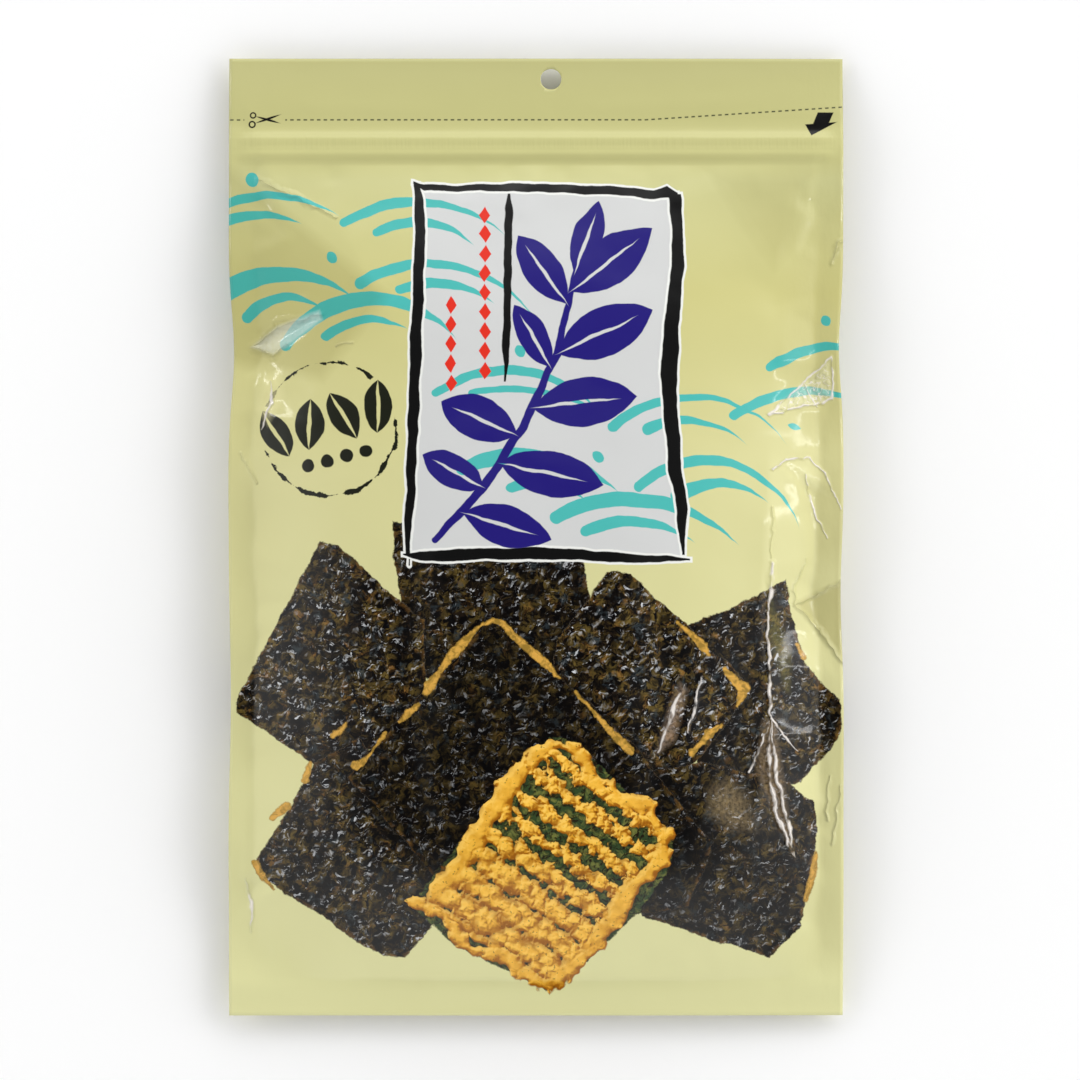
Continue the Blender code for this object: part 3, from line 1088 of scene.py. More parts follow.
# %% Height of the batter
SHEET_UNDER_BATTER = (
    (5, -65), (13, -66.5), (44.5, -98), (44, -107), (33.5, -122.5), (8, -147.5), (3, -149), (-27, -133.5),
    (-42, -119), (-40.5, -116.5), (-20.0, -93.0), (-3.5, -71.5),
)
BATTER_MIDDLE = (0, -107)
RIDGE_RUN = (0.808, -0.589)
RIDGE_SIDE = (-0.589, -0.808)
RIDGE_PITCH = 8.2
FIRST_RIDGE = -24.5
RIDGE_HALF = 2.3
LEFT_RIM = (
    (-38.5, -15.5, 1.2), (-35.5, -18.2, 2.0), (-30.0, -21.2, 2.4), (-23.5, -22.4, 2.7), (-17.0, -22.4, 4.0),
    (-10.5, -22.2, 2.7), (-4.0, -21.9, 3.3), (5.0, -21.4, 3.0), (13.0, -21.1, 3.4), (22.0, -20.4, 3.0),
    (28.5, -20.0, 2.2),
)
RIGHT_RIM = (
    (-30.5, 30.9, 2.6), (-26.0, 31.2, 3.9), (-21.8, 30.6, 1.7), (-16.2, 29.7, 2.8), (-9.6, 30.0, 3.4),
    (2.9, 30.1, 3.2), (11.2, 30.2, 2.8), (18.4, 29.5, 2.4), (26.0, 28.4, 2.9), (31.0, 26.8, 2.2),
)
TOP_ROPE = (
    (-18.0, -36.6, 1.2), (-12.0, -38.0, 1.8), (-5.8, -35.8, 2.2), (-2.0, -33.6, 2.4), (0.8, -33.0, 2.2),
    (4.2, -35.2, 1.7), (8.4, -33.4, 2.3), (14.0, -35.6, 2.6), (18.8, -37.4, 1.9), (21.7, -34.4, 2.1),
    (25.0, -32.2, 1.7), (30.5, -32.6, 2.4),
)
FOOT_ROPE = (
    (-27.5, 33.4, 1.8), (-24.0, 32.8, 2.6), (-15.0, 31.0, 1.6), (-6.0, 34.6, 2.2), (2.0, 34.6, 2.0),
    (9.0, 30.6, 2.4), (16.0, 31.4, 2.8), (23.0, 31.0, 2.8), (29.0, 29.6, 2.8),
)
BATTER_END = 33.0
BATTER_END_MIDDLE = -1.5
BATTER_SIDE = 25.0
BATTER_SIDE_MIDDLE = 4.5
LUMP_SIZE = 3.0
SWELL_SIZE = 6.0
KNOB_SIZE = 3.9
KNOB_REACH = 0.42
ROUND_TOP = 3.0
RIDGE_TOP = 2.3
FIRST_COUNT = 10.5


def batter_height(tile, place):
    """(how far inside the batter a place is, its height, how deep it is in a crease)."""
    bent = tile.shaken(place, 8.0, 2.3, detail=2)
    along, down = (
        tile.vector("DOT_PRODUCT", bent, (*run, 0), out=1) - Vector(run).dot(BATTER_MIDDLE)
        for run in (RIDGE_RUN, RIDGE_SIDE)
    )
    rim_bars = [bar(tile, down, along, stations) for stations in (LEFT_RIM, RIGHT_RIM)]
    rim_bars += [bar(tile, along, down, stations) for stations in (TOP_ROPE, FOOT_ROPE)]
    rims = -tile.smallest(rim_bars)
    swell = tile.noise(place, SWELL_SIZE, detail=1) - 0.5
    wrung = tile.shaken(place, 3.0, 1.3, detail=1)
    lumps = tile.noise(wrung, LUMP_SIZE, detail=2, rough=0.55) - 0.5
    knobs = KNOB_REACH - tile.cells(wrung, KNOB_SIZE)
    phase = tile.maths("FRACT", (down - FIRST_RIDGE) / RIDGE_PITCH + FIRST_COUNT)
    ridge = RIDGE_HALF - abs(phase - 0.5) * RIDGE_PITCH + lumps * 5.0 + knobs * 1.6 + swell * 3.0
    inside = tile.maths(
        "MINIMUM", BATTER_SIDE - abs(along - BATTER_SIDE_MIDDLE), BATTER_END - abs(down - BATTER_END_MIDDLE)
    )
    covered = tile.maths("MINIMUM", ridge + tile.ramp(down, -9, 22) * 2.7, inside)
    rim = rims + lumps * 1.1 + swell * 3.8 + 0.35
    thick = tile.maths("MAXIMUM", rim, tile.maths("MINIMUM", covered, RIDGE_TOP))
    body = tile.maths("MINIMUM", tile.maths("MAXIMUM", thick, 0.0), ROUND_TOP)
    height = tile.maths("SQRT", body * (2 * ROUND_TOP - body))
    rough = 1 - tile.ramp(rims, -0.6, 1.0) * 0.72
    valley = tile.ramp(abs(phase - 0.5) + lumps * 0.35, 0.26, 0.46)
    crease = tile.maths("MAXIMUM", tile.ramp(knobs + lumps * 0.6, 0.0, -0.28), valley * 0.8) * rough
    return thick, height + (knobs * 1.9 + lumps * 1.9 - valley * 0.9) * rough + lumps * 0.3, crease


print("ridges", RIDGE_PITCH, "mm apart, on", 2 * BATTER_SIDE, "by", 2 * BATTER_END, "mm of batter")

# %% Paint the batter
LEAF_GREEN = paint(52, 70, 40)
LEAF_PALE = paint(112, 116, 58)
BATTER_LIT = paint(252, 206, 98)
BATTER_SHADED = paint(152, 90, 14)
BATTER_STOPS = (
    (0.06, paint(96, 62, 14)),
    (0.34, paint(190, 124, 30)),
    (0.60, paint(230, 168, 50)),
    (0.90, paint(250, 196, 76)),
)
HIGHEST = 4.0
SPECK = paint(86, 70, 28)
SPECK_SIZE = 1.3
KNOB_APART = (-0.36, 0.60, 0)
CAST_REACH = 4.0


def paint_batter(tile, color):
    if not tile.holds(SHEET_UNDER_BATTER, SQUARE_MARGIN):
        return color
    laid = tile.seaweed
    thick, height, crease = batter_height(tile, tile.flat)
    _, next_height, _ = batter_height(tile, tile.vector("ADD", tile.flat, KNOB_APART))
    slope = height - next_height
    specks = tile.ramp(tile.noise(tile.flat, SPECK_SIZE, detail=1), 0.71, 0.77)
    fried = tile.node("ShaderNodeValToRGB", {"stops": BATTER_STOPS}, {0: height / HIGHEST})
    batter = coated(tile, fried, (
        (tile.ramp(slope, 0.05, 0.60) * 0.8, BATTER_LIT),
        (tile.ramp(slope, -0.08, -0.75) * 0.85, BATTER_SHADED),
        (crease * 0.6, BATTER_SHADED),
        (specks * 0.6, SPECK),
    ))
    outline = panel(tile, tile.shaken(tile.flat, 3.0, 1.1, detail=3), SHEET_UNDER_BATTER)
    sheet = tile.ink(outline, 0.2)
    leaf_green = coated(tile, LEAF_GREEN, (
        (tile.ramp(laid["pits"], 0.46, 0.66), LEAF_PALE),
        (tile.ramp(laid["facing"], 0.0, -0.12), SEAWEED_DARK),
    ))
    return coated(tile, color, (
        (tile.ramp(outline, CAST_REACH, 0.0) * laid["cover"] * 0.7, SEAWEED_BLACK),
        (sheet, leaf_green),
        (tile.ramp(thick, -1.6, 0.0) * 0.6 * sheet, SEAWEED_DARK),
        (tile.ink(-thick, 0.2), batter),
    ))


print(len(BATTER_STOPS), "shades of batter, from the gaps to", HIGHEST, "mm high")

# %% [markdown]
# ## The framed panel
#
# A white panel with a loose black brush frame sits high on the front. The frame's bars
# are uneven: each one's middle and width are read from stations along it. A thin white
# line runs round the ink, as printers leave one so that colours needn't meet exactly.

# %% Panel and brush frame
PANEL = ((-39.6, 115.4), (45.8, 113.2), (47.6, -6.5), (-42.6, -6.5))
TOP_BAR = (
    (-40.3, 116.6, 0.4), (-37.0, 114.9, 1.0), (-28.9, 114.4, 0.95), (-3.0, 114.7, 1.35),
    (27.0, 113.6, 1.6), (39.0, 112.2, 1.5), (43.0, 113.2, 2.0), (46.6, 112.0, 1.0),
)
RIGHT_BAR = (
    (-6.0, 47.9, 0.4), (8.8, 47.6, 1.8), (21.9, 45.4, 2.05), (42.5, 43.6, 2.35), (53.4, 43.4, 2.6),
    (76.0, 44.9, 2.4), (88.3, 46.4, 2.1), (100.6, 46.5, 1.8), (112.6, 45.4, 2.1),
)
LEFT_BAR = (
    (-6.0, -41.8, 0.7), (8.0, -41.2, 1.3), (38.2, -39.9, 1.8), (77.5, -38.6, 1.8), (100.3, -37.9, 1.7),
    (110.6, -38.4, 1.45), (116.4, -39.4, 0.8),
)
BOTTOM_BAR = (
    (-43.4, -5.9, 0.2), (-38.0, -6.2, 1.5), (-21.6, -5.6, 1.9), (7.8, -5.3, 1.9), (20.9, -6.3, 1.6),
    (40.0, -7.2, 1.2), (50.3, -7.6, 0.3),
)
INNER_BAR = (
    (50.5, -10.0, 0.3), (62.0, -9.8, 1.2), (75.0, -9.4, 1.3), (95.0, -9.2, 1.35), (108.0, -8.9, 1.2),
    (112.6, -8.8, 0.4),
)
PANEL_WHITE = paint(207, 208, 207)
OUTLINE_WHITE = paint(234, 235, 230)
INK_BLACK = paint(16, 16, 16)
OUTLINE = 0.75
DRIBBLE = ((-41.3, -7.4), (-41.4, -9.4), 0.2, 0.25)


def paint_panel(tile, color):
    if not tile.holds(PANEL):
        return color
    inside = tile.mix(tile.sea_ink, PANEL_WHITE, TURQUOISE) if tile.sea_ink else PANEL_WHITE
    color = tile.mix(tile.ink(panel(tile, tile.brushed, PANEL)), color, inside)
    bars = tile.smallest(
        bar(tile, along, across, stations)
        for along, across, stations in (
            (tile.brushed_across, tile.brushed_along, TOP_BAR),
            (tile.brushed_along, tile.brushed_across, RIGHT_BAR),
            (tile.brushed_along, tile.brushed_across, LEFT_BAR),
            (tile.brushed_across, tile.brushed_along, BOTTOM_BAR),
        )
    )
    bars = tile.maths("MINIMUM", bars, rope(tile, tile.brushed, *DRIBBLE))
    color = tile.mix(tile.ink(bars - OUTLINE), color, OUTLINE_WHITE)
    inner = bar(tile, tile.brushed_along, tile.brushed_across, INNER_BAR)
    return tile.mix(tile.ink(tile.maths("MINIMUM", bars, inner)), color, INK_BLACK)


print("panel corners, mm:", PANEL)

# %% [markdown]
# ## A sprig in indigo
#
# The panel holds a brush-painted sprig: a curved stem and plump leaves on both sides, in
# indigo, with two rows of small red lozenges beside it. Leaves overlap the stem, so their
# roots need no care. A leaf's vein is a second, very thin leaf left unpainted.

# %% Indigo sprig
STEM = ((-33, -1), (-18, 15), (-4, 36), (7, 60), (13, 88))
STEM_HALF = (1.1, 1.5, 1.4, 1.2, 0.8)
LEAVES = (
    ((12.5, 86), (21, 110), 10),
    ((11, 80), (38, 101), 15),
    ((10, 76), (-6, 99), 12),
    ((7, 60), (38, 74), 16),
    ((5, 55), (-7, 76), 10),
    ((-1, 42), (33, 46), 16),
    ((-6, 33), (-31, 44), 14),
    ((-12, 24), (22, 17), 15),
    ((-17, 16), (-37, 27), 11),
    ((-24, 8), (5, -1), 13),
)
VEIN_WIDTH = 1.1
VEIN_END = 0.82
INDIGO = paint(37, 29, 118)


def paint_sprig(tile, color):
    if not tile.holds(STEM):
        return color
    leaves = [shape for shape in LEAVES if tile.holds(shape[:2], shape[2] / 2 + 1)]
    stem = tile.smallest(
        rope(tile, tile.brushed, *ends) for ends in zip(STEM, STEM[1:], STEM_HALF, STEM_HALF[1:])
    )
    sprig = tile.maths("MINIMUM", stem, tile.smallest(leaf(tile, tile.brushed, *shape) for shape in leaves))
    veins = tile.smallest(
        leaf(tile, tile.brushed, root, Vector(root).lerp(Vector(tip), VEIN_END), VEIN_WIDTH)
        for root, tip, _ in leaves
    )
    return tile.mix(tile.ink(sprig) * (1 - tile.ink(veins)), color, INDIGO)


print(len(LEAVES), "leaves on a stem of", len(STEM) - 1, "lengths")

# %% Red lozenges
RED = paint(222, 50, 36)
LOZENGE_PITCH = 6.4
LOZENGE_SLOPE = 0.65
LOZENGE_HALF = 1.9
LOZENGE_COLUMNS = ((-16.7, 51.0, 9), (-27.8, 47.0, 5))


def paint_lozenges(tile, color):
    for x, low, count in LOZENGE_COLUMNS:
        high = low + count * LOZENGE_PITCH
        if not tile.holds(((x, low), (x, high))):
            continue
        step = tile.maths("FRACT", (tile.brushed_along - low) / LOZENGE_PITCH) - 0.5
        slant = abs(step) * (LOZENGE_PITCH * LOZENGE_SLOPE)
        shape = abs(tile.brushed_across - x) + slant - LOZENGE_HALF
        ends = abs(tile.along - (low + high) / 2) - (high - low) / 2
        color = tile.mix(tile.ink(tile.maths("MAXIMUM", shape, ends)), color, RED)
    return color


print(sum(count for _, _, count in LOZENGE_COLUMNS), "lozenges")

# %% [markdown]
# ## A round stamp
#
# Left of the panel is a hand-stamped ring, drawn with a dry brush so that it breaks up,
# and across it a slanting row of four bold leaf marks over a row of small dots.

# %% Stamp
STAMP_MIDDLE = (-67.6, 35.3)
STAMP_RADIUS = 21.9
STAMP_SLANT = math.radians(15)
MARKS = 4
MARK_PITCH = 11.6
MARK_HEIGHT = 16.5
MARK_WIDTH = 9.4
MARK_VEIN = 1.3
MARK_LEAN = 2.4
MARK_RAISE = 3.0
DOT_PITCH = 6.6
DOT_RADIUS = 2.1
DOT_DROP = -10.0
MARK_CLEAR = 1.6
DRY_BRUSH = 6.0
BARE_BRUSH = 0.40
RING_HALF = 4.0
STAMP_BLACK = paint(30, 32, 22)


def on_stamp(along, up):
    """A place on the stamp, counted along and above its slanting middle line."""
    row = Vector((math.cos(STAMP_SLANT), math.sin(STAMP_SLANT)))
    return tuple(Vector(STAMP_MIDDLE) + row * along + Vector((-row.y, row.x)) * up)


def paint_stamp(tile, color):
    reach = [on_stamp(side * 2 * MARK_PITCH, up * STAMP_RADIUS) for side in (-1, 1) for up in (-1, 1)]
    if not tile.holds(reach):
        return color
    shapes = []
    for count in range(MARKS):
        step = count - (MARKS - 1) / 2
        lean = MARK_LEAN if count % 2 else -MARK_LEAN
        foot = on_stamp(step * MARK_PITCH - lean, MARK_RAISE - MARK_HEIGHT / 2)
        head = on_stamp(step * MARK_PITCH + lean, MARK_RAISE + MARK_HEIGHT / 2)
        vein = leaf(tile, tile.brushed, foot, head, MARK_VEIN)
        shapes.append(tile.maths("MAXIMUM", leaf(tile, tile.brushed, foot, head, MARK_WIDTH), -vein))
        shapes.append(disc(tile, tile.brushed, on_stamp(step * DOT_PITCH, DOT_DROP), DOT_RADIUS))
    marks = tile.smallest(shapes)
    dry = tile.noise(tile.flat, DRY_BRUSH, detail=4, rough=0.6)
    ring_line = ring(tile, tile.brushed, STAMP_MIDDLE, STAMP_RADIUS, (dry - BARE_BRUSH) * RING_HALF)
    ring_line = tile.maths("MAXIMUM", ring_line, MARK_CLEAR - marks)
    return tile.mix(tile.ink(tile.maths("MINIMUM", marks, ring_line)), color, STAMP_BLACK)


print(MARKS, "marks over", MARKS, "dots in a ring of radius", STAMP_RADIUS, "mm")

# %% [markdown]
# ## Marks of the header
#
# Above the zip runs a dashed line where the pouch is cut open, with a small pair of
# scissors at its left end and an arrow at its right. The line climbs a little to the
# right, because the header isn't quite flat.

# %% Cutting line, scissors and arrow
DASH_PITCH = 2.2
DASH = 1.15
FIRST_DASH = 100
LINE_HALF = 0.22
LINE_HEIGHT = 137.2
LINE_CLIMB = 0.066
LINE_BEND = 36.0
SCISSORS = (-96.0, -82.5)
HEADER_INK = paint(62, 66, 48)
ICONS = (
    (leaf, (-92.3, 138.4), (-84.2, 136.1), 0.75),
    (leaf, (-92.4, 136.1), (-84.0, 139.0), 0.75),
    (ring, (-93.1, 138.7), 0.85, 0.24),
    (ring, (-93.4, 135.7), 0.95, 0.26),
    (panel, ((92.7, 139.7), (97.9, 139.7), (96.1, 135.6), (90.9, 135.4))),
    (panel, ((88.5, 135.7), (99.0, 136.5), (90.5, 132.0))),
)


def paint_header(tile, color):
    if not tile.holds(((-101, LINE_HEIGHT), (101, LINE_HEIGHT))):
        return color
    climb = tile.maths("MAXIMUM", tile.across - LINE_BEND, 0.0) * LINE_CLIMB
    line = abs(tile.along - LINE_HEIGHT - climb) - LINE_HALF
    phase = tile.maths("FRACT", tile.across / DASH_PITCH + FIRST_DASH)
    dash = abs(phase - 0.5) * DASH_PITCH - DASH / 2
    beside = abs(tile.across - sum(SCISSORS) / 2) - (SCISSORS[1] - SCISSORS[0]) / 2
    cutting = tile.largest((line, dash, -beside))
    color = tile.mix(tile.ink(cutting), color, HEADER_INK)
    icons = tile.smallest(draw(tile, tile.flat, *shape) for draw, *shape in ICONS)
    return tile.mix(tile.ink(icons), color, INK_BLACK)


print(len(ICONS), "shapes in the scissors and the arrow")

# %% [markdown]
# ## The film itself
#
# The film is a glossy plastic over the ink: smooth enough for sharp reflections, with a
# very slight unevenness from the crackers that press against it, and fine crinkles along
# the seals. Sharp folds run down both shoulders and round the dents. A fold is a ridge
# with a crisp spine, under a millimetre high, so it and the crinkles are bump, not mesh.
# The hardest creases also get a white spine, a painted highlight that stands for their
# glint and for the milky whitening of film bent hard, and one dent on the right is
# crinkled all over, with a net of thin white lines of painted glint.

# %% Hard creases with a painted white glint on the spine, each point with the half width of the ridge
CREASES_WITH_PAINTED_GLINT = (
    ((77.3, -8.5, 1.4), (76.8, -17.0, 1.6), (75.6, -24.6, 1.0), (76.2, -45.0, 1.1), (76.8, -59.2, 0.9)),
    ((76.8, -59.2, 0.8), (85.8, -70.0, 0.6)),
    ((76.8, -60.0, 0.8), (75.6, -76.0, 1.3), (79.5, -93.0, 1.4), (84.8, -105.0, 0.7)),
    ((76.8, -60.0, 0.8), (78.8, -78.0, 1.3), (82.5, -93.0, 1.2), (84.8, -105.0, 0.7)),
    ((75.8, -62.0, 0.7), (69.5, -76.8, 0.8)),
    ((48.3, -48.4, 0.8), (44.6, -56.3, 1.4), (39.7, -70.3, 1.0)),
    ((53.5, -45.6, 0.7), (51.6, -56.3, 1.0), (49.2, -63.6, 0.7)),
    ((76.2, 40.0, 0.9), (97.0, 59.0, 0.8), (97.5, 45.4, 0.9), (76.2, 40.0, 0.9)),
    ((88.0, 50.0, 0.6), (92.5, 43.0, 0.6)),
    ((77.4, 21.6, 1.0), (82.1, 25.8, 0.9), (89.9, 25.8, 0.7), (95.8, 19.9, 0.7), (99.9, 9.2, 0.6)),
    ((88.1, 20.4, 0.6), (91.0, 9.2, 0.8), (95.2, -0.3, 0.6)),
    ((-86.9, 51.0, 0.6), (-86.4, 44.4, 1.0), (-90.2, 35.7, 0.7)),
    ((-95.5, -112.0, 0.6), (-93.7, -120.0, 1.2), (-94.2, -130.0, 0.7)),
)

# %% Softer folds
FOLDS = (
    ((88.2, -7.5, 0.7), (84.4, -18.0, 0.9), (85.0, -22.2, 0.8)),
    ((85.0, -22.2, 1.0), (101.0, -14.5, 1.0)),
    ((85.0, -22.2, 1.0), (93.5, -30.5, 1.6), (101.0, -42.0, 1.2)),
    ((96.7, -78.0, 0.8), (94.9, -93.0, 1.0)),
    ((100.0, -82.0, 0.8), (97.3, -100.7, 1.0)),
    ((77.4, 9.2, 0.7), (77.0, -6.9, 0.6)),
    ((99.9, 97.0, 1.6), (97.0, 90.0, 1.0)),
    ((-91.2, 117.5, 1.4), (-81.7, 112.7, 1.6), (-65.5, 105.1, 1.0)),
    ((-93.0, 62.4, 1.8), (-85.0, 69.0, 2.4), (-70.5, 73.0, 1.4)),
    ((-93.0, 62.4, 1.8), (-86.4, 60.0, 2.0), (-81.7, 63.4, 1.2)),
    ((-65.0, 62.4, 0.7), (-60.3, 63.8, 0.6)),
    ((-97.0, 28.0, 0.7), (-92.0, 18.0, 0.9)),
)
FOLD_HEIGHT = 0.40
FOLD_SPREAD = 1.3
SPINE = (0.56, 0.90)
SPINE_GLINT_SHARE = 0.88
# Painted highlight along the crease spines, for their glint and for the whitening of film bent hard.
PAINTED_GLINT_WHITE = paint(240, 233, 226)
FOLD_MARGIN = 3.0
print(len(CREASES_WITH_PAINTED_GLINT), "hard creases and", len(FOLDS), "softer folds")

# %% A crinkled dent, with a net of painted glint lines
CRINKLED = ((77.5, 40.5), (96.0, 57.0), (97.0, 45.5))
CRINKLE_SIZE = 2.2
CRINKLE_HIGH = 0.8
CRINKLE_LINE = (0.035, 0.005)
CRINKLE_GLINT_SHARE = 0.75

# %% Gloss and bump, with the zip's fine teeth
FILM_ROUGHNESS = 0.07
UNEVEN_GLOSS = 0.05
FILM_SHINE = 0.25
SLOW_BUMP = 0.50
SLOW_WAVE = 22.0
CRINKLE_BUMP = 0.10
CRINKLE_STRETCH = (1.0, 0.55, 0)
CRINKLED_TO = 26.0
FULLY_CRINKLED = 6.0
FINE_CRINKLE = 3.2
TOOTH_BUMP = 0.12
TEETH_ALONG = 129.6
TOOTH_STRETCH = (1.0, 0.05, 0)
TOOTH_SIZE = 1.3


def fold_climb(tile, place, start, end):
    """(how far up the ridge between two points a place is, from 0 to 1, the half width of the ridge)."""
    (x0, y0, half0), (x1, y1, half1) = start, end
    half0, half1 = half0 * FOLD_SPREAD, half1 * FOLD_SPREAD
    width = (half0 + half1) / 2
    climb = tile.ramp(rope(tile, place, (x0, y0), (x1, y1), half0, half1), 0.0, -width)
    return climb, width


def finish_film(tile, color, folds=(FOLDS, CREASES_WITH_PAINTED_GLINT)):
    from_side = 1000 * WIDTH / 2 - abs(tile.across)
    crinkled = tile.ramp(from_side, CRINKLED_TO, FULLY_CRINKLED)
    slow = tile.noise(tile.flat, SLOW_WAVE, detail=2, rough=0.45)
    stretched = tile.vector("MULTIPLY", tile.flat, CRINKLE_STRETCH)
    fine = tile.noise(stretched, FINE_CRINKLE, detail=2, rough=0.5)
    height = slow * SLOW_BUMP + fine * crinkled * CRINKLE_BUMP
    if folds and tile.meets(CRINKLED, 1.0):
        creased = tile.noise(tile.flat, CRINKLE_SIZE, detail=1, rough=0.5)
        dented = tile.ramp(panel(tile, tile.flat, CRINKLED), 0.4, -0.8)
        net = tile.ramp(abs(creased - 0.5), *CRINKLE_LINE)
        height = height + creased * dented * CRINKLE_HIGH
        # The net of thin white lines is painted glint on the crinkles.
        color = tile.mix(net * dented * CRINKLE_GLINT_SHARE, color, PAINTED_GLINT_WHITE)
    for chains in folds:
        links = [ends for fold in chains for ends in zip(fold, fold[1:]) if tile.holds(ends, FOLD_MARGIN)]
        if links:
            bent = tile.shaken(tile.flat, 7.0, 1.3, detail=2)
            climbs = [fold_climb(tile, bent, *ends) for ends in links]
            height = height + tile.largest(climb * climb * (FOLD_HEIGHT * width) for climb, width in climbs)
        # The crease spines get a painted white glint.
        if links and chains is CREASES_WITH_PAINTED_GLINT:
            spine = tile.ramp(tile.largest(climb for climb, _ in climbs), *SPINE)
            color = tile.mix(spine * tile.ramp(fine, 0.32, 0.50) * SPINE_GLINT_SHARE, color, PAINTED_GLINT_WHITE)
    if tile.holds(((-101, 1000 * ZIP_BOTTOM), (101, 1000 * ZIP_TOP)), 0):
        toothed = tile.ramp(abs(tile.along - TEETH_ALONG), 2.4, 1.6)
        teeth = tile.noise(tile.vector("MULTIPLY", tile.flat, TOOTH_STRETCH), TOOTH_SIZE, detail=1)
        height = height + teeth * toothed * TOOTH_BUMP
    bump = tile.node("ShaderNodeBump", {}, {"Strength": 1.0, "Distance": 0.001, "Height": height})
    tile.feed(tile.shader.inputs["Normal"], bump)
    tile.feed(tile.shader.inputs["Base Color"], color)
    uneven = tile.maths("MULTIPLY_ADD", slow, UNEVEN_GLOSS, FILM_ROUGHNESS)
    tile.feed(tile.shader.inputs["Roughness"], uneven)
    tile.shader.inputs["Specular IOR Level"].default_value = FILM_SHINE


# %% [markdown]
# ## Laying the tiles
#
# The tiles are rows from the foot to the header, each cut at its own places so that no
# tile holds many shapes. A face takes the tile that its middle lies in.

# %% Make the tiles
ROWS = (
    (-160, -57, (-51, 54)),
    (-57, -9, (-42, 30)),
    (-9, 48, (-45, 53)),
    (48, 119, (-45, 53)),
    (119, 160, ()),
)
STEPS = (
    paint_waves, paint_seaweed, paint_drips, paint_batter, paint_panel, paint_sprig, paint_lozenges,
    paint_stamp, paint_header, paint_facet_shade_and_sheen,
)

tiles = []
for low, high, cuts in ROWS:
    edges = (-110, *cuts, 110)
    for left, right in zip(edges, edges[1:]):
        tile = Tile(f"printed_film_{len(tiles) + 1:02d}", (left, low), (right, high))
        color = paint_ground_and_shade(tile)
        for step in STEPS:
            color = step(tile, color)
        finish_film(tile, color)
        tiles.append(tile)
print("nodes a tile:", [len(tile.tree.nodes) for tile in tiles])

# %% [markdown]
# ## Back of the film
#
# The back isn't seen in the photograph. It is the same film in the same pale colour, with
# a blank white field where a pouch of this kind holds its small print.

# %% Back material
FIELD = ((-72, 78), (72, 78), (72, -62), (-72, -62))
FIELD_LINE = 0.5
FIELD_INSET = 2.0

back = Tile("plain_film", (-110, -160), (110, 160))
field = panel(back, back.flat, FIELD)
# The back's ground comes from the same stops, painted shade included.
color = back.mix(back.ink(field), paint_ground_and_shade(back), OUTLINE_WHITE)
color = back.mix(back.ink(abs(field + FIELD_INSET) - FIELD_LINE / 2), color, HEADER_INK)
finish_film(back, color, folds=())
print("nodes of the back:", len(back.tree.nodes))

# %% Give each face its material
cut_mesh.materials.clear()
for tile in tiles:
    cut_mesh.materials.append(tile.owner)
cut_mesh.materials.append(back.owner)
for face in cut_mesh.polygons:
    if face.material_index == 1:
        face.material_index = len(tiles)
        continue
    x, y = 1000 * face.center.x, 1000 * face.center.y
    face.material_index = next(
        index for index, tile in enumerate(tiles)
        if tile.low[0] <= x < tile.high[0] and tile.low[1] <= y < tile.high[1]
    )
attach(pouch, "root")
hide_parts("pouch")
print("materials on the film:", len(cut_mesh.materials))

# %% [markdown]
# ## Studio
#
# A plain pale floor and soft light from both sides. Straight above the pouch the studio
# is dim, because the flat top of the film mirrors it back to the camera, and a bright sky
# there would wash the print out. Narrow strips light little, but glossy film shows them
# as thin bright lines along its folds, which is how film reads as film.

# %% Floor
FLOOR_HALF = 6.0
FLOOR_GAP = 0.0003

floor_mesh = bpy.data.meshes.new("floor")
bm = bmesh.new()
bmesh.ops.create_grid(bm, x_segments=1, y_segments=1, size=FLOOR_HALF)
bmesh.ops.translate(bm, verts=bm.verts, vec=(0, 0, -FLOOR_GAP))
bm.to_mesh(floor_mesh)
bm.free()
floor = bpy.data.objects.new("floor", floor_mesh)
bpy.context.scene.collection.objects.link(floor)
paper = Sheet(bpy.data.materials.new("floor_paper"))
paper.shader.inputs["Base Color"].default_value = paint(252, 252, 252)
paper.shader.inputs["Roughness"].default_value = 0.9
floor_mesh.materials.append(paper.owner)
floor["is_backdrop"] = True

# %% Lights
def soft_light(name, place, size, energy):
    light = bpy.data.lights.new(name, "AREA")
    light.shape = "RECTANGLE"
    light.size, light.size_y = size
    light.energy = energy
    lamp = bpy.data.objects.new(name, light)
    lamp.location = place
    lamp.rotation_euler = (-Vector(place)).to_track_quat("-Z", "Y").to_euler()
    lamp.visible_camera = False
    bpy.context.scene.collection.objects.link(lamp)
    return lamp


soft_light("right_strip", (1.10, 0.10, 0.60), (0.05, 0.8), 1.4)
soft_light("left_strip", (-1.15, 0.45, 0.62), (0.05, 0.6), 1.4)
print("lamps:", len(bpy.data.lights))

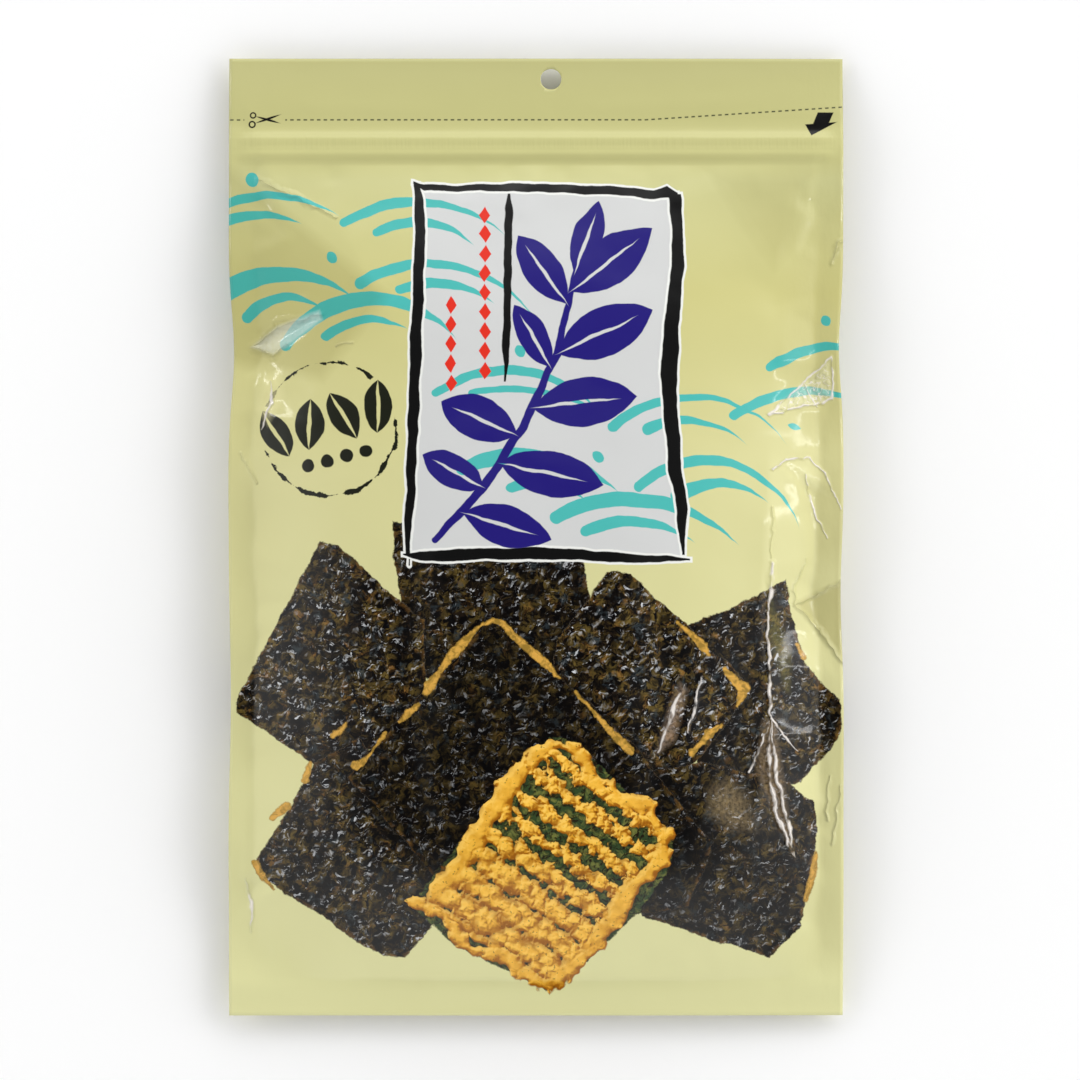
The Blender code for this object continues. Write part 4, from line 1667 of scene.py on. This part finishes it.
# %% Sky of the studio
SKY_LEVEL = 1.50
SKY_STOPS = (
    (0.0, 0.85), (0.45, 1.0), (0.60, 0.85), (0.74, 0.30), (0.84, 0.10),
    (0.93, 0.05), (0.955, 0.16), (0.975, 0.14), (0.985, 0.04),
)
KEY_TOWARD = Vector((0.45, 0.60, 0.66)).normalized()
KEY_GAIN = 1.1

world = bpy.data.worlds.new("studio")
bpy.context.scene.world = world
sky = Sheet(world, "Background")
toward = sky.node("ShaderNodeTexCoord", out="Generated")
height = sky.node("ShaderNodeSeparateXYZ", {}, {0: toward}, out=2)
stops = [(place, (gray, gray, gray, 1)) for place, gray in SKY_STOPS]
level = sky.node("ShaderNodeValToRGB", {"stops": stops}, {0: height})
key = sky.ramp(sky.vector("DOT_PRODUCT", toward, tuple(KEY_TOWARD), out=1), 0.5, 1.0)
sky.feed(sky.shader.inputs["Color"], level)
sky.feed(sky.shader.inputs["Strength"], sky.maths("MULTIPLY_ADD", key, KEY_GAIN, 1.0) * SKY_LEVEL)
bpy.context.scene.view_settings.view_transform = "Standard"
print("sky of", len(SKY_STOPS), "levels from the floor up")

# %% [markdown]
# ## Camera
#
# The photograph looks straight at the front with a long lens, so the camera hangs above
# the pouch. One pixel of the 1080 pixel frame is 0.3268 mm at the height of the print.

# %% Camera over the pouch
MM_A_PIXEL = 0.3268
FRAME_PIXELS = 1080
LENS = 250.0
PRINT_HEIGHT = 0.024
AIM = (0.0013, -0.0010)

camera_data = bpy.data.cameras.new("camera")
camera_data.lens = LENS
camera_data.sensor_width = 36.0
camera_data.clip_end = 50
reach = FRAME_PIXELS * MM_A_PIXEL / 1000 * LENS / camera_data.sensor_width
camera = bpy.data.objects.new("camera", camera_data)
camera.location = (*AIM, PRINT_HEIGHT + reach)
bpy.context.scene.collection.objects.link(camera)
bpy.context.scene.camera = camera
print(f"camera {reach:.2f} m above the print")

# %% Measure and finish
low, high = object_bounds()
print("visual box, mm:", [round(1000 * (b - a), 1) for a, b in zip(low, high)])
